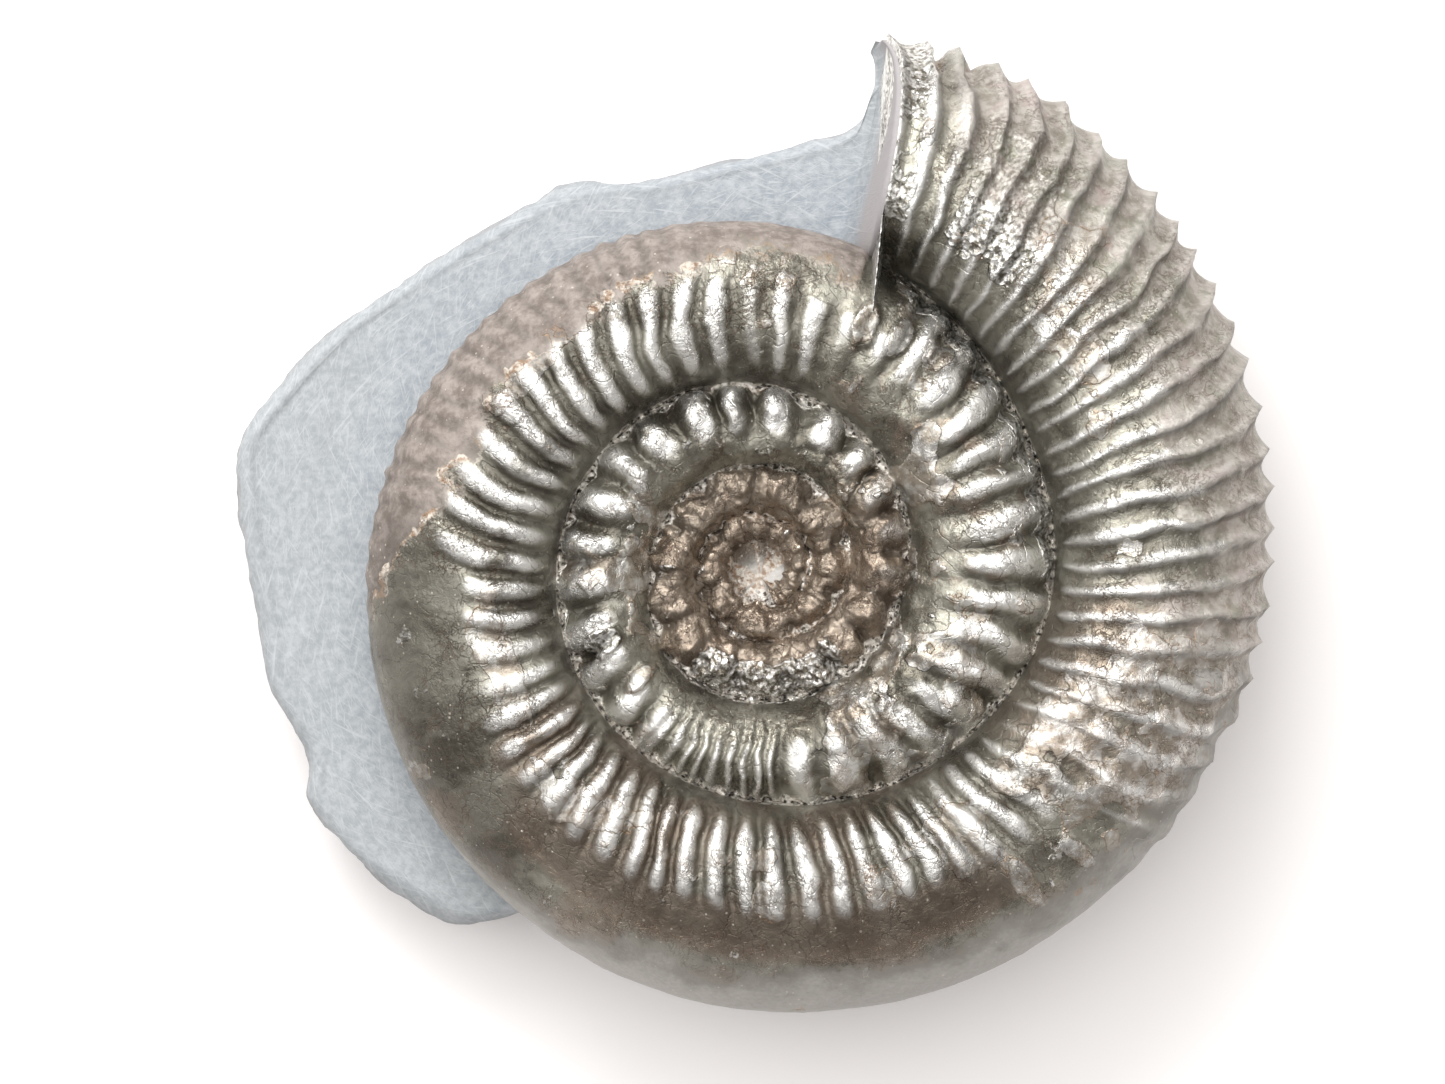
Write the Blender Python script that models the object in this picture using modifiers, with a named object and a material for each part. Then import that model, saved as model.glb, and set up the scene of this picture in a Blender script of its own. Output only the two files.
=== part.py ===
"""Ammonite fossil in its bed of rock, as two solids: the coiled fossil and the grey rock that holds it.

Metres, +Z up. The origin is where the coil's axis meets the flat underside of the rock. +X runs to the
side where the last turn is widest, and the coil ends near +Y. Places along the coil are counted in turns
back from its end: 0 is the end, 1 is one whole turn further in.
"""

import math

import bmesh
import bpy
from mathutils import Vector

MM = 0.001

# The coil
END_RADIUS = 48.0 * MM  # outer radius that the spiral reaches at its end
TURN_SHRINK = 0.522  # natural log of the outer radius lost in one turn
END_PINCH = 0.037  # share of the radius that the broken end is short of the spiral
END_PINCH_TURNS = 0.06
END_ANGLE = math.radians(70.4)  # where the last turn's inner edge stops
END_LEAN = math.radians(6.3)  # how far the ribs run forward at the outer edge there
MEDIAN_HEIGHT = 15.0 * MM  # the coil's middle plane above the rock's underside
END_HALF_BREADTH = 12.5 * MM
BREADTH_SHRINK = 0.40  # natural log of the half breadth lost in one turn
TURNS = 3  # turns that show as separate whorls; the ones inside are a low dome
CORE_DOME_HEIGHT = 2.9 * MM

# Radius of the seam at a whorl's inner edge, as (turns back, millimetres)
SEAM = [
    (0.00, 27.9), (0.10, 25.4), (0.22, 24.4), (0.34, 21.6), (0.50, 18.9), (0.72, 17.0), (0.90, 15.9),
    (1.10, 13.3), (1.28, 11.6), (1.55, 10.9), (1.72, 9.2), (2.00, 8.5), (2.25, 6.9), (2.60, 5.6), (3.00, 4.5),
]  # fmt: skip
SEAM_LEVEL_FIRST = 0.30  # height of the seam, as a share of the inner whorl's half breadth, at the end
SEAM_LEVEL_INNER = 0.58  # and further in
SEAM_LEVEL_TURNS = 0.45  # turns over which it changes

# A whorl's outline is a superellipse with these powers across and up
POWER_ACROSS = 0.92
POWER_UP = 0.86
FLANK_COLUMNS = 4  # faces across a whorl's flank
SHOULDER = math.radians(17.5)  # where the last turn's flank ends and its outer edge starts

# The ribs
RIBS_LAST_TURN = 66
RIB_CROWDING = 0.73  # natural log of the growth of the rib spacing over one turn
RIB_HEIGHT = 0.45 * MM  # from the smooth surface to a crest
RIB_FADE = 0.35

# The rock
ROCK_HEIGHT = 10.9 * MM
ROCK_CENTRE = Vector((-3.0 * MM, 4.0 * MM))
ROCK_OUTLINE = [
    (9.6, 42.6), (7.6, 38.1), (3.3, 36.4), (-1.8, 35.1), (-9.5, 33.3), (-13.8, 33.1), (-17.3, 32.2),
    (-24.2, 28.6), (-31.0, 24.3), (-37.0, 20.0), (-42.2, 14.4), (-44.5, 11.4), (-45.0, 8.4), (-44.5, 3.3),
    (-42.9, -5.3), (-42.2, -10.5), (-39.6, -14.4), (-38.6, -16.9), (-38.8, -19.9), (-35.8, -24.2),
    (-31.0, -27.9), (-25.9, -30.3), (-21.5, -29.9), (-15.5, -28.2), (-7.8, -32.2), (5.9, -34.2),
    (22.3, -27.9), (34.0, -13.4), (38.2, 6.0), (34.2, 22.6), (24.5, 35.8), (14.5, 42.4),
]  # fmt: skip
# Heights at which the outline is drawn, as shares of the rock's height, and the outline's scale there
ROCK_LEVELS = [(0.0, 0.915), (0.14, 0.968), (0.42, 1.0), (0.80, 0.998), (0.94, 0.985), (1.0, 0.962)]
# Corners of the ramp that rises from the slab against the coil's broken end, front pair then back pair,
# in millimetres. Its back is inside the coil, and goes when the pocket is cut.
RAMP_FOOT = [[(3.0, 28.0), (5.2, 36.2)], [(13.0, 28.5), (13.0, 41.5)]]
RAMP_CREST = [[(9.0, 31.0), (9.3, 40.5)], [(13.0, 31.5), (13.0, 40.5)]]
RAMP_HEIGHT = 22.0 * MM
RAMP_DEPTH = 3.0 * MM  # how far it is sunk in the slab
CLEARANCE = 0.38 * MM  # between fossil and rock

FOSSIL_COLOUR = (0.17, 0.155, 0.125, 1.0)
ROCK_COLOUR = (0.43, 0.47, 0.50, 1.0)


def clear_scene():
    """Remove what a new file holds."""
    for old in list(bpy.data.objects):
        bpy.data.objects.remove(old)


def new_collection(name):
    """A collection linked to the scene."""
    collection = bpy.data.collections.new(name)
    bpy.context.scene.collection.children.link(collection)
    return collection


def new_material(name, colour, roughness, metallic):
    """A Principled material."""
    material = bpy.data.materials.new(name)
    material.use_nodes = True
    shader = material.node_tree.nodes["Principled BSDF"]
    shader.inputs["Base Color"].default_value = colour
    shader.inputs["Roughness"].default_value = roughness
    shader.inputs["Metallic"].default_value = metallic
    material.diffuse_color = colour
    return material


def new_object(name, bm, collection, material=None):
    """Turn a bmesh into an object, with its faces pointing out."""
    bmesh.ops.recalc_face_normals(bm, faces=bm.faces)
    mesh = bpy.data.meshes.new(name)
    bm.to_mesh(mesh)
    bm.free()
    made = bpy.data.objects.new(name, mesh)
    collection.objects.link(made)
    if material:
        mesh.materials.append(material)
    return made


def smooth_curve(anchors, x):
    """A smooth curve through anchor points, with flat-chord tangents, read at x."""
    last = len(anchors) - 2
    k = next((i for i in range(last) if x < anchors[i + 1][0]), last)
    (x0, y0), (x1, y1) = anchors[k], anchors[k + 1]
    before = anchors[max(k - 1, 0)]
    after = anchors[min(k + 2, len(anchors) - 1)]
    span = x1 - x0
    slope0 = (y1 - before[1]) / (x1 - before[0]) * span
    slope1 = (after[1] - y0) / (after[0] - x0) * span
    u = (x - x0) / span
    rise = 3 * u * u - 2 * u**3
    return y0 + (y1 - y0) * rise + slope0 * (u - 2 * u * u + u**3) + slope1 * (u**3 - u * u)


def outer_radius(turn):
    """Radius of the coil's outer edge."""
    pinch = END_PINCH * max(0.0, 1 - turn / END_PINCH_TURNS) ** 2
    return END_RADIUS * math.exp(-TURN_SHRINK * turn) * (1 - pinch)


def half_breadth(turn):
    """Height of a whorl's flank above the middle plane."""
    return END_HALF_BREADTH * math.exp(-BREADTH_SHRINK * turn)


def seam(turn):
    """Radius, and height above the middle plane, of the seam at a whorl's inner edge."""
    share = min(turn / SEAM_LEVEL_TURNS, 1.0)
    level = SEAM_LEVEL_FIRST + (SEAM_LEVEL_INNER - SEAM_LEVEL_FIRST) * share
    return smooth_curve(SEAM, turn) * MM, level * half_breadth(turn + 1)


def whorl_angle(height, breadth):
    """Angle round the superellipse, from the outer edge, at which it has that height."""
    return math.asin(min(1.0, height / breadth) ** (1 / POWER_UP))


def rib_phase(turn):
    """Ribs counted back from the coil's end."""
    scale = RIBS_LAST_TURN / (1 - math.exp(-RIB_CROWDING))
    return scale * (1 - math.exp(-RIB_CROWDING * turn))


def rib_turns():
    """Turns at which a rib of the last turn has its crest or the hollow before it."""
    scale = RIBS_LAST_TURN / (1 - math.exp(-RIB_CROWDING))
    half_ribs = range(2 * RIBS_LAST_TURN)
    return [-math.log(1 - half / 2 / scale) / RIB_CROWDING for half in half_ribs]


def coil_row(turn):
    """Points across a whorl's upper flank, from its inner seam to its shoulder or outer seam, then its outer edge."""
    inside, inside_height = seam(turn)
    breadth = half_breadth(turn)
    start = math.pi - whorl_angle(inside_height, breadth)
    inner_reach = abs(math.cos(start)) ** POWER_ACROSS
    last_turn = turn < 1.0
    if last_turn:
        stop = SHOULDER
        half_width = (outer_radius(turn) - inside) / (1 + inner_reach)
    else:
        outside, outside_height = seam(turn - 1)
        stop = whorl_angle(outside_height, breadth)
        half_width = (outside - inside) / (math.cos(stop) ** POWER_ACROSS + inner_reach)
    middle = inside + half_width * inner_reach
    wave = RIB_HEIGHT * math.exp(-RIB_FADE * turn) * math.cos(2 * math.pi * rib_phase(turn))

    points = []
    for column in range(FLANK_COLUMNS + 2):
        share = column / FLANK_COLUMNS
        is_edge = column > FLANK_COLUMNS
        angle = 0.0 if is_edge else start + (stop - start) * share
        across = math.copysign(abs(math.cos(angle)) ** POWER_ACROSS, math.cos(angle)) * half_width
        up = math.sin(angle) ** POWER_UP * breadth
        at_seam = column == 0 or (column == FLANK_COLUMNS and not last_turn)
        swell = 1.0 if at_seam else 1 + wave / math.hypot(across, up)
        lean = END_LEAN * (1 - turn) * min(share, 1.0) ** 2 if last_turn else 0.0
        around = END_ANGLE - 2 * math.pi * turn + lean
        radius = middle + across * swell
        points.append(Vector((radius * math.cos(around), radius * math.sin(around), up * swell)))
    return points


def upper_coil():
    """The coil's upper half as an open bmesh, welded along the seams between its whorls."""
    bm = bmesh.new()
    turns = [whole + part for whole in range(TURNS) for part in rib_turns()] + [float(TURNS)]
    rows = []
    for turn in turns:
        points = coil_row(turn)
        if turn > 1.0:
            points.pop()  # the outer edge of an inner whorl is buried
        rows.append([bm.verts.new(point) for point in points])
    for ahead, behind in zip(rows, rows[1:]):
        columns = min(len(ahead), len(behind)) - 1
        for k in range(columns):
            bm.faces.new((ahead[k], ahead[k + 1], behind[k + 1], behind[k]))
    one_turn = len(rib_turns())
    broken_end = bm.faces.new([*rows[0], rows[one_turn][-1], rows[one_turn][-2]])
    bmesh.ops.poke(bm, faces=[broken_end])
    bmesh.ops.remove_doubles(bm, verts=bm.verts, dist=0.01 * MM)
    return bm


def close_core(bm):
    """Close the hole inside the innermost whorl with a low dome."""
    edge_of_core = seam(TURNS - 1)[0] + 1 * MM
    rim = [e for e in bm.edges if e.is_boundary and max(v.co.xy.length for v in e.verts) < edge_of_core]
    filled = bmesh.ops.holes_fill(bm, edges=rim, sides=0)["faces"]
    tip = bmesh.ops.poke(bm, faces=filled)["verts"][0]
    tip.co = Vector((0.0, 0.0, CORE_DOME_HEIGHT))


def make_fossil(collection, material):
    """The whole coil: its upper half, mirrored in its middle plane."""
    bm = upper_coil()
    close_core(bm)
    fossil = new_object("ammonite", bm, collection, material)
    fossil.location.z = MEDIAN_HEIGHT
    mirror = fossil.modifiers.new("other side", "MIRROR")
    mirror.use_axis = (False, False, True)
    mirror.merge_threshold = 0.02 * MM
    return fossil


def make_pocket_cutter(fossil, collection):
    """The fossil's own shape, swollen by the clearance, to cut its pocket in the rock."""
    graph = bpy.context.evaluated_depsgraph_get()
    mesh = bpy.data.meshes.new_from_object(fossil.evaluated_get(graph))
    bm = bmesh.new()
    bm.from_mesh(mesh)
    bmesh.ops.recalc_face_normals(bm, faces=bm.faces)
    bm.normal_update()
    forward = Vector((-math.sin(END_ANGLE), math.cos(END_ANGLE), 0.0))
    broken_end = {v for face in bm.faces if face.normal.dot(forward) > 0.9 for v in face.verts}
    for v in bm.verts:
        v.co += v.normal * (CLEARANCE * min(v.calc_shell_factor(), 2.0))
    for v in broken_end:
        v.co += forward * CLEARANCE
    cutter = new_object("pocket_cutter", bm, collection)
    cutter.location = fossil.location
    hide_guide(cutter)
    return cutter


def hide_guide(guide):
    """Mark an object as a cutter, which isn't part of the object."""
    guide.hide_render = True
    guide.display_type = "WIRE"


def make_ramp(collection):
    """Rock that rises from the slab against the coil's broken end."""
    bm = bmesh.new()
    bmesh.ops.create_cube(bm, size=1.0)
    for v in bm.verts:
        is_back, is_top, is_far = v.co.x > 0, v.co.z > 0, v.co.y > 0
        plan = (RAMP_CREST if is_top else RAMP_FOOT)[is_back][is_far]
        v.co.xy = Vector(plan) * MM
        v.co.z = RAMP_HEIGHT if is_top else ROCK_HEIGHT - RAMP_DEPTH
    ramp = new_object("ramp", bm, collection)
    hide_guide(ramp)
    return ramp


def make_rock(collection, cutters, fossil, material):
    """A slab drawn up level by level from its outline, with the fossil's pocket cut in it."""
    bm = bmesh.new()
    base = [bm.verts.new((x * MM, y * MM, 0.0)) for x, y in ROCK_OUTLINE]
    rim = [bm.edges.new((a, b)) for a, b in zip(base, base[1:] + base[:1])]
    loops = [base]
    for _ in ROCK_LEVELS[1:]:
        drawn = bmesh.ops.extrude_edge_only(bm, edges=rim)["geom"]
        rim = [part for part in drawn if isinstance(part, bmesh.types.BMEdge)]
        rim = [edge for edge in rim if edge.is_boundary]
        loops.append([part for part in drawn if isinstance(part, bmesh.types.BMVert)])
    for loop, (height, scale) in zip(loops, ROCK_LEVELS):
        for v in loop:
            flat = ROCK_CENTRE + (v.co.xy - ROCK_CENTRE) * scale
            v.co = Vector((flat.x, flat.y, height * ROCK_HEIGHT))
    bmesh.ops.holes_fill(bm, edges=[e for e in bm.edges if e.is_boundary], sides=0)
    rock = new_object("rock_matrix", bm, collection, material)

    joined = rock.modifiers.new("ramp", "BOOLEAN")
    joined.operation = "UNION"
    joined.object = make_ramp(cutters)
    pocket = rock.modifiers.new("pocket", "BOOLEAN")
    pocket.operation = "DIFFERENCE"
    pocket.object = make_pocket_cutter(fossil, cutters)
    return rock


def main():
    """Build the fossil and the rock around it."""
    clear_scene()
    parts = new_collection("ammonite_fossil")
    cutters = new_collection("cutters")
    fossil = make_fossil(parts, new_material("fossil", FOSSIL_COLOUR, 0.32, 0.75))
    bpy.context.view_layer.update()
    rock = make_rock(parts, cutters, fossil, new_material("rock", ROCK_COLOUR, 0.85, 0.0))
    for made in (fossil, rock):
        made.data.shade_smooth()
        made.data.set_sharp_from_angle(angle=math.radians(35))


main()
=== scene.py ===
"""Finished looks of the ammonite fossil: its mineralised coil, the grey rock that holds it, a light studio.

The frame's solids give the places and sizes. Lengths in this script are in millimetres until a mesh is
written, and places along the coil are in turns back from its broken end, as in the solids.
"""

import logging
import math
from collections.abc import Iterator
from contextlib import contextmanager
from dataclasses import dataclass, field
from enum import Enum

import bpy
import numpy as np
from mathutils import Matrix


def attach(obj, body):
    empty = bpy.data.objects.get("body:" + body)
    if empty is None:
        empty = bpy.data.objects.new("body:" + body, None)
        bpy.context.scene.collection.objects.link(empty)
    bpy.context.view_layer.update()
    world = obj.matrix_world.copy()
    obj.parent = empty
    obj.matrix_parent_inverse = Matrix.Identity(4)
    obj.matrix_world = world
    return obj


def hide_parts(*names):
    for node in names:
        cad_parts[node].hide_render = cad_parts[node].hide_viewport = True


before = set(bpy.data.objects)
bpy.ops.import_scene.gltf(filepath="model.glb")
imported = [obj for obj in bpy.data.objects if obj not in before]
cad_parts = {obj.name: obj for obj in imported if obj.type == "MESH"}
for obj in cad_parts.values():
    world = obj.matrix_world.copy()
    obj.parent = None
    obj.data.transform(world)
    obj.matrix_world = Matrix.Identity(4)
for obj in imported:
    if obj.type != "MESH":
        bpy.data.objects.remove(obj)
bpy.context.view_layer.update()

MM = 0.001
FAR = 99.0
Array = np.ndarray
Colour = tuple[float, float, float]
Piece = bpy.types.Object
Socket = bpy.types.NodeSocket
Tree = bpy.types.NodeTree
log = logging.getLogger("ammonite")


# ---------------------------------------------------------------- curves and grain


def ease(value: Array, low: float, high: float) -> Array:
    """Smooth step.

    Args:
        value: what is compared.
        low: where the step is 0.
        high: where the step is 1; it may be below low.

    Returns:
        0 to 1.
    """
    share = np.clip((value - low) / (high - low), 0.0, 1.0)
    return share * share * (3 - 2 * share)


def window(value: Array, low: float, high: float, soft: float) -> Array:
    """A soft-edged window.

    Args:
        value: what is compared.
        low: where the window opens.
        high: where it shuts.
        soft: width of its two edges.

    Returns:
        1 inside, 0 outside.
    """
    return ease(value, low - soft, low + soft) * ease(value, high + soft, high - soft)


def curve(anchors: tuple[tuple[float, float], ...], at: Array) -> Array:
    """A smooth curve through anchor points, with chord tangents.

    Args:
        anchors: pairs of place and value.
        at: places to read it at.

    Returns:
        The curve's values.
    """
    x, y = np.array(anchors).T
    chord = np.gradient(y, x)
    chord[1:-1] = (y[2:] - y[:-2]) / (x[2:] - x[:-2])
    k = np.clip(np.searchsorted(x, at, side="right") - 1, 0, len(x) - 2)
    span = x[k + 1] - x[k]
    u = np.clip((at - x[k]) / span, 0.0, 1.0)
    rise = 3 * u**2 - 2 * u**3
    bow = chord[k] * span * (u - 2 * u**2 + u**3) + chord[k + 1] * span * (u**3 - u**2)
    return y[k] + (y[k + 1] - y[k]) * rise + bow


@dataclass(frozen=True)
class Grain:
    """Repeatable noise in space, for sculpted surfaces."""

    seed: int = 7

    def lattice(self, cell: Array, salt: int) -> Array:
        """A random value from 0 to 1 for each whole-numbered cell.

        Args:
            cell: whole numbers, three to a row.
            salt: picks one of many patterns.

        Returns:
            One value a row.
        """
        c = cell.astype(np.int64).astype(np.uint64)
        h = c[..., 0] * np.uint64(374761393) + c[..., 1] * np.uint64(668265263)
        h += c[..., 2] * np.uint64(2246822519) + np.uint64(3266489917 * (self.seed + 31 * salt + 1))
        h = (h ^ (h >> np.uint64(15))) * np.uint64(2654435761)
        h = (h ^ (h >> np.uint64(13))) * np.uint64(1274126177)
        h ^= h >> np.uint64(16)
        return (h & np.uint64(0xFFFFFF)).astype(float) / 0xFFFFFF

    def soft(self, points: Array, size: float, salt: int) -> Array:
        """Value noise.

        Args:
            points: places, three numbers to a row.
            size: the size of its blobs.
            salt: picks one of many patterns.

        Returns:
            -1 to 1, one value a row.
        """
        p = points / size
        cell = np.floor(p)
        u = p - cell
        u = u * u * u * (u * (u * 6 - 15) + 10)
        total = np.zeros(len(points))
        for corner in np.ndindex(2, 2, 2):
            weight = np.prod(np.where(corner, u, 1 - u), axis=1)
            total += weight * self.lattice(cell + np.array(corner), salt)
        return total * 2 - 1

    def fractal(self, points: Array, size: float, salt: int, octaves: int = 3) -> Array:
        """Several sizes of value noise on top of each other, about -1 to 1.

        Args:
            points: places, three numbers to a row.
            size: the size of the largest blobs.
            salt: picks one of many patterns.
            octaves: how many sizes.

        Returns:
            One value a row.
        """
        total = np.zeros(len(points))
        for k in range(octaves):
            total += self.soft(points, size / 2**k, salt + 17 * k) / 2**k
        return total / 1.35

    def cells(self, points: Array, size: float, salt: int) -> tuple[Array, Array]:
        """Broken, crystal-like cells.

        Args:
            points: places, three numbers to a row.
            size: the size of a cell.
            salt: picks one of many patterns.

        Returns:
            The distance to the edge between two cells, and a random value for each cell.
        """
        p = points / size
        cell = np.floor(p)
        near = np.full(len(points), 9.0)
        second = near.copy()
        chosen = np.zeros(len(points))
        for step in np.ndindex(3, 3, 3):
            here = cell + np.array(step) - 1
            jitter = np.stack([self.lattice(here, salt + 101 * k) for k in range(3)], axis=1)
            away = np.linalg.norm(here + jitter - p, axis=1)
            closer = away < near
            second = np.where(closer, near, np.minimum(second, away))
            chosen = np.where(closer, self.lattice(here, salt + 303), chosen)
            near = np.where(closer, away, near)
        return second - near, chosen


GRAIN = Grain()


@dataclass(frozen=True)
class Area:
    """A soft-edged stretch of the coil, between two turns and across all or a part of its flank."""

    weight: float
    turns: tuple[float, float]
    soft: float
    across: tuple[float, float] | None = None
    across_soft: float = 0.0

    def weights(self, turn: Array, reach: Array) -> Array:
        """How strongly the area counts.

        Args:
            turn: turns back from the end.
            reach: share of the way across the flank.

        Returns:
            0 to the area's weight, one value a point.
        """
        inside = self.weight * window(turn, *self.turns, self.soft)
        if self.across is not None:
            inside = inside * window(reach, *self.across, self.across_soft)
        return inside


def strongest(areas: tuple[Area, ...], turn: Array, reach: Array) -> Array:
    """The largest weight that any of some areas gives.

    Args:
        areas: the areas.
        turn: turns back from the end.
        reach: share of the way across the flank.

    Returns:
        One value a point.
    """
    return np.maximum.reduce([area.weights(turn, reach) for area in areas])


# ---------------------------------------------------------------- the coil's plan


@dataclass(frozen=True)
class Section:
    """Points on the coil's smooth surface, before ribs: one entry for each point."""

    turn: Array
    share: Array
    reach: Array
    angle: Array
    radius: Array
    height: Array
    normal_out: Array
    normal_up: Array

    def places(self, lift: Array | float = 0.0) -> Array:
        """The points in space.

        Args:
            lift: how far each one is raised along its normal.

        Returns:
            X, Y and Z, one point a row, with Z from the coil's middle plane.
        """
        radius = self.radius + self.normal_out * lift
        height = self.height + self.normal_up * lift
        return np.stack([radius * np.cos(self.angle), radius * np.sin(self.angle), height], axis=1)


@dataclass(frozen=True)
class CoilPlan:
    """The coil's driving sizes, in millimetres and turns, as in the solids that it replaces."""

    end_radius: float = 48.0
    turn_shrink: float = 0.522
    end_pinch: float = 0.037
    end_pinch_turns: float = 0.06
    end_angle: float = math.radians(70.4)
    end_lean: float = math.radians(6.3)
    end_half_breadth: float = 12.5
    breadth_shrink: float = 0.40
    seam_level_first: float = 0.30
    seam_level_inner: float = 0.58
    seam_level_turns: float = 0.45
    power_across: float = 0.92
    power_up: float = 0.86
    ribs_last_turn: int = 66
    rib_crowding: float = 0.73
    median_height: float = 15.0
    crown_shift: float = 0.50
    turns: float = 4.35
    rows_per_rib: int = 8
    flank_columns: int = 56
    edge_columns: int = 9
    seam: tuple[tuple[float, float], ...] = (
        (0.00, 27.9), (0.10, 25.4), (0.22, 24.4), (0.34, 21.6), (0.50, 18.9), (0.72, 17.0), (0.90, 15.9),
        (1.10, 13.3), (1.28, 11.6), (1.55, 10.9), (1.72, 9.2), (2.00, 8.5), (2.25, 6.9), (2.60, 5.6),
        (3.00, 4.5), (3.50, 3.2), (4.00, 2.3), (4.35, 1.8),
    )  # fmt: skip

    def outer_radius(self, turn: Array) -> Array:
        """Radius of the coil's outer edge.

        Args:
            turn: turns back from the end.

        Returns:
            Millimetres.
        """
        pinch = self.end_pinch * np.maximum(0.0, 1 - turn / self.end_pinch_turns) ** 2
        return self.end_radius * np.exp(-self.turn_shrink * turn) * (1 - pinch)

    def half_breadth(self, turn: Array) -> Array:
        """Height of a whorl's flank above the middle plane, at some turns back from the end."""
        return self.end_half_breadth * np.exp(-self.breadth_shrink * turn)

    def seam_height(self, turn: Array) -> Array:
        """Height, above the middle plane, of the seam at a whorl's inner edge.

        Args:
            turn: turns back from the end.

        Returns:
            Millimetres.
        """
        share = np.minimum(turn / self.seam_level_turns, 1.0)
        level = self.seam_level_first + (self.seam_level_inner - self.seam_level_first) * share
        return level * self.half_breadth(turn + 1)

    def whorl_angle(self, height: Array, breadth: Array) -> Array:
        """Angle round a whorl's outline, from its outer edge, at which it has that height.

        Args:
            height: above the middle plane.
            breadth: the whorl's half breadth.

        Returns:
            Radians.
        """
        return np.arcsin(np.clip(height / breadth, 0.0, 1.0) ** (1 / self.power_up))

    def shift(self, turn: Array) -> Array:
        """How far the flank's crown is moved towards the inner seam, 0 to 1, at some turns back."""
        return self.crown_shift * ease(turn, 1.08, 0.78)

    def rib_phase(self, turn: Array) -> Array:
        """Ribs counted back from the coil's end, at some turns back."""
        scale = self.ribs_last_turn / (1 - math.exp(-self.rib_crowding))
        return scale * (1 - np.exp(-self.rib_crowding * turn))

    def row_turns(self) -> Array:
        """Turns of the rows of points of the whole coil: each turn has rows at the same angles.

        Returns:
            Turns back from the end.
        """
        scale = self.ribs_last_turn / (1 - math.exp(-self.rib_crowding))
        steps = np.arange(self.ribs_last_turn * self.rows_per_rib)
        first = -np.log(1 - steps / self.rows_per_rib / scale) / self.rib_crowding
        every = np.concatenate([first + whole for whole in range(math.ceil(self.turns))])
        return every[every <= self.turns]

    def section(self, turns: Array, columns: int, outer_edge: bool) -> Section:
        """Points across the coil's upper side, a row of them for each turn.

        Args:
            turns: turns back from the end, one for each row.
            columns: faces across a row.
            outer_edge: False for the flank, from the inner seam to the shoulder or the outer seam; True
                for the last turn's outer edge, from its shoulder down to the middle plane.

        Returns:
            (columns + 1) points for each row, row by row.
        """
        last = turns < 1.0
        inside = curve(self.seam, turns)
        breadth = self.half_breadth(turns)
        start = math.pi - self.whorl_angle(self.seam_height(turns), breadth)
        inner_reach = np.abs(np.cos(start)) ** self.power_across
        outer_turns = np.maximum(turns - 1, 0.0)
        outside = np.where(last, self.outer_radius(turns), curve(self.seam, outer_turns))
        outer_breadth = np.where(last, self.half_breadth(1.0), breadth)
        stop = self.whorl_angle(self.seam_height(outer_turns), outer_breadth)
        outer_reach = np.where(last, 1.0, np.cos(stop) ** self.power_across)
        half_width = (outside - inside) / (outer_reach + inner_reach)

        fine = np.linspace(0.0, 1.0, 120)
        low, high = (stop, 0 * stop) if outer_edge else (start, stop)
        angles = low[:, None] + (high - low)[:, None] * fine
        x = np.sign(np.cos(angles)) * np.abs(np.cos(angles)) ** self.power_across * half_width[:, None]
        z = np.abs(np.sin(angles)) ** self.power_up * breadth[:, None]
        run = np.hypot(np.diff(x, axis=1), np.diff(z, axis=1))
        run = np.concatenate([np.zeros((len(turns), 1)), np.cumsum(run, axis=1)], axis=1)
        run /= run[:, -1:]
        share = np.linspace(0.0, 1.0, columns + 1)
        spaced = np.stack([np.interp(share, along, row) for along, row in zip(run, angles)])

        x = np.sign(np.cos(spaced)) * np.abs(np.cos(spaced)) ** self.power_across
        z = np.abs(np.sin(spaced)) ** self.power_up
        out = np.sign(x) * np.abs(x) ** (2 / self.power_across - 1) / half_width[:, None]
        up = z ** (2 / self.power_up - 1) / breadth[:, None]
        wide = (outside - inside)[:, None]
        even = (inner_reach[:, None] + x) * half_width[:, None] / wide
        shift = self.shift(turns)[:, None]
        out = out / (1 - shift + 2 * shift * np.clip(even, 0.0, 1.0))
        size = np.hypot(out, up)
        reach = np.clip(even - shift * even * (1 - even), 0.0, 1.0)
        radius = inside[:, None] + reach * wide
        share = np.broadcast_to(share, radius.shape)
        share = 1 + 0.12 * share if outer_edge else share
        lean = np.where(last, self.end_lean * (1 - turns), 0.0)[:, None] * np.minimum(share, 1.0) ** 2
        angle = self.end_angle - 2 * math.pi * turns[:, None] + lean
        turn = np.broadcast_to(turns[:, None], radius.shape)
        angle = angle + self.wander(turn, share, angle, radius)
        parts = (turn, share, reach, angle, radius, z * breadth[:, None], out / size, up / size)
        return Section(*(part.ravel() for part in parts))

    def wander(self, turn: Array, share: Array, angle: Array, radius: Array) -> Array:
        """How far the ribs wander from an even spacing, and bend backwards near the outer edge.

        Args:
            turn: turns back from the end.
            share: share of the way across the flank.
            angle: angle round the coil before it.
            radius: distance from the coil's axis.

        Returns:
            Radians, nothing at the seams and at the coil's end.
        """
        unrolled = np.stack([radius * np.cos(angle), radius * np.sin(angle), turn * 3.0], axis=-1)
        unrolled = unrolled.reshape(-1, 3)
        noise = 0.30 * GRAIN.fractal(unrolled, 6.0, 41) + 0.06 * GRAIN.fractal(unrolled, 1.6, 42)
        pitch = 2 * math.pi * np.exp(self.rib_crowding * turn) * (1 - math.exp(-self.rib_crowding))
        pitch = pitch / (self.ribs_last_turn * self.rib_crowding)
        bent = 0.9 * window(turn, 0.62, 0.92, 0.06) * ease(share, 0.25, 0.75) ** 2
        away = noise.reshape(turn.shape) - bent
        closed = ease(share, 1.0, 0.85)
        closing = np.where(turn < 1.0, ease(turn, 0.93, 1.0), 1.0)
        held = ease(share, 0.0, 0.15) * (1 - closing * (1 - closed))
        return pitch * away * held * ease(turn, 0.0, 0.02)


# ---------------------------------------------------------------- the coil's surface


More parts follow.
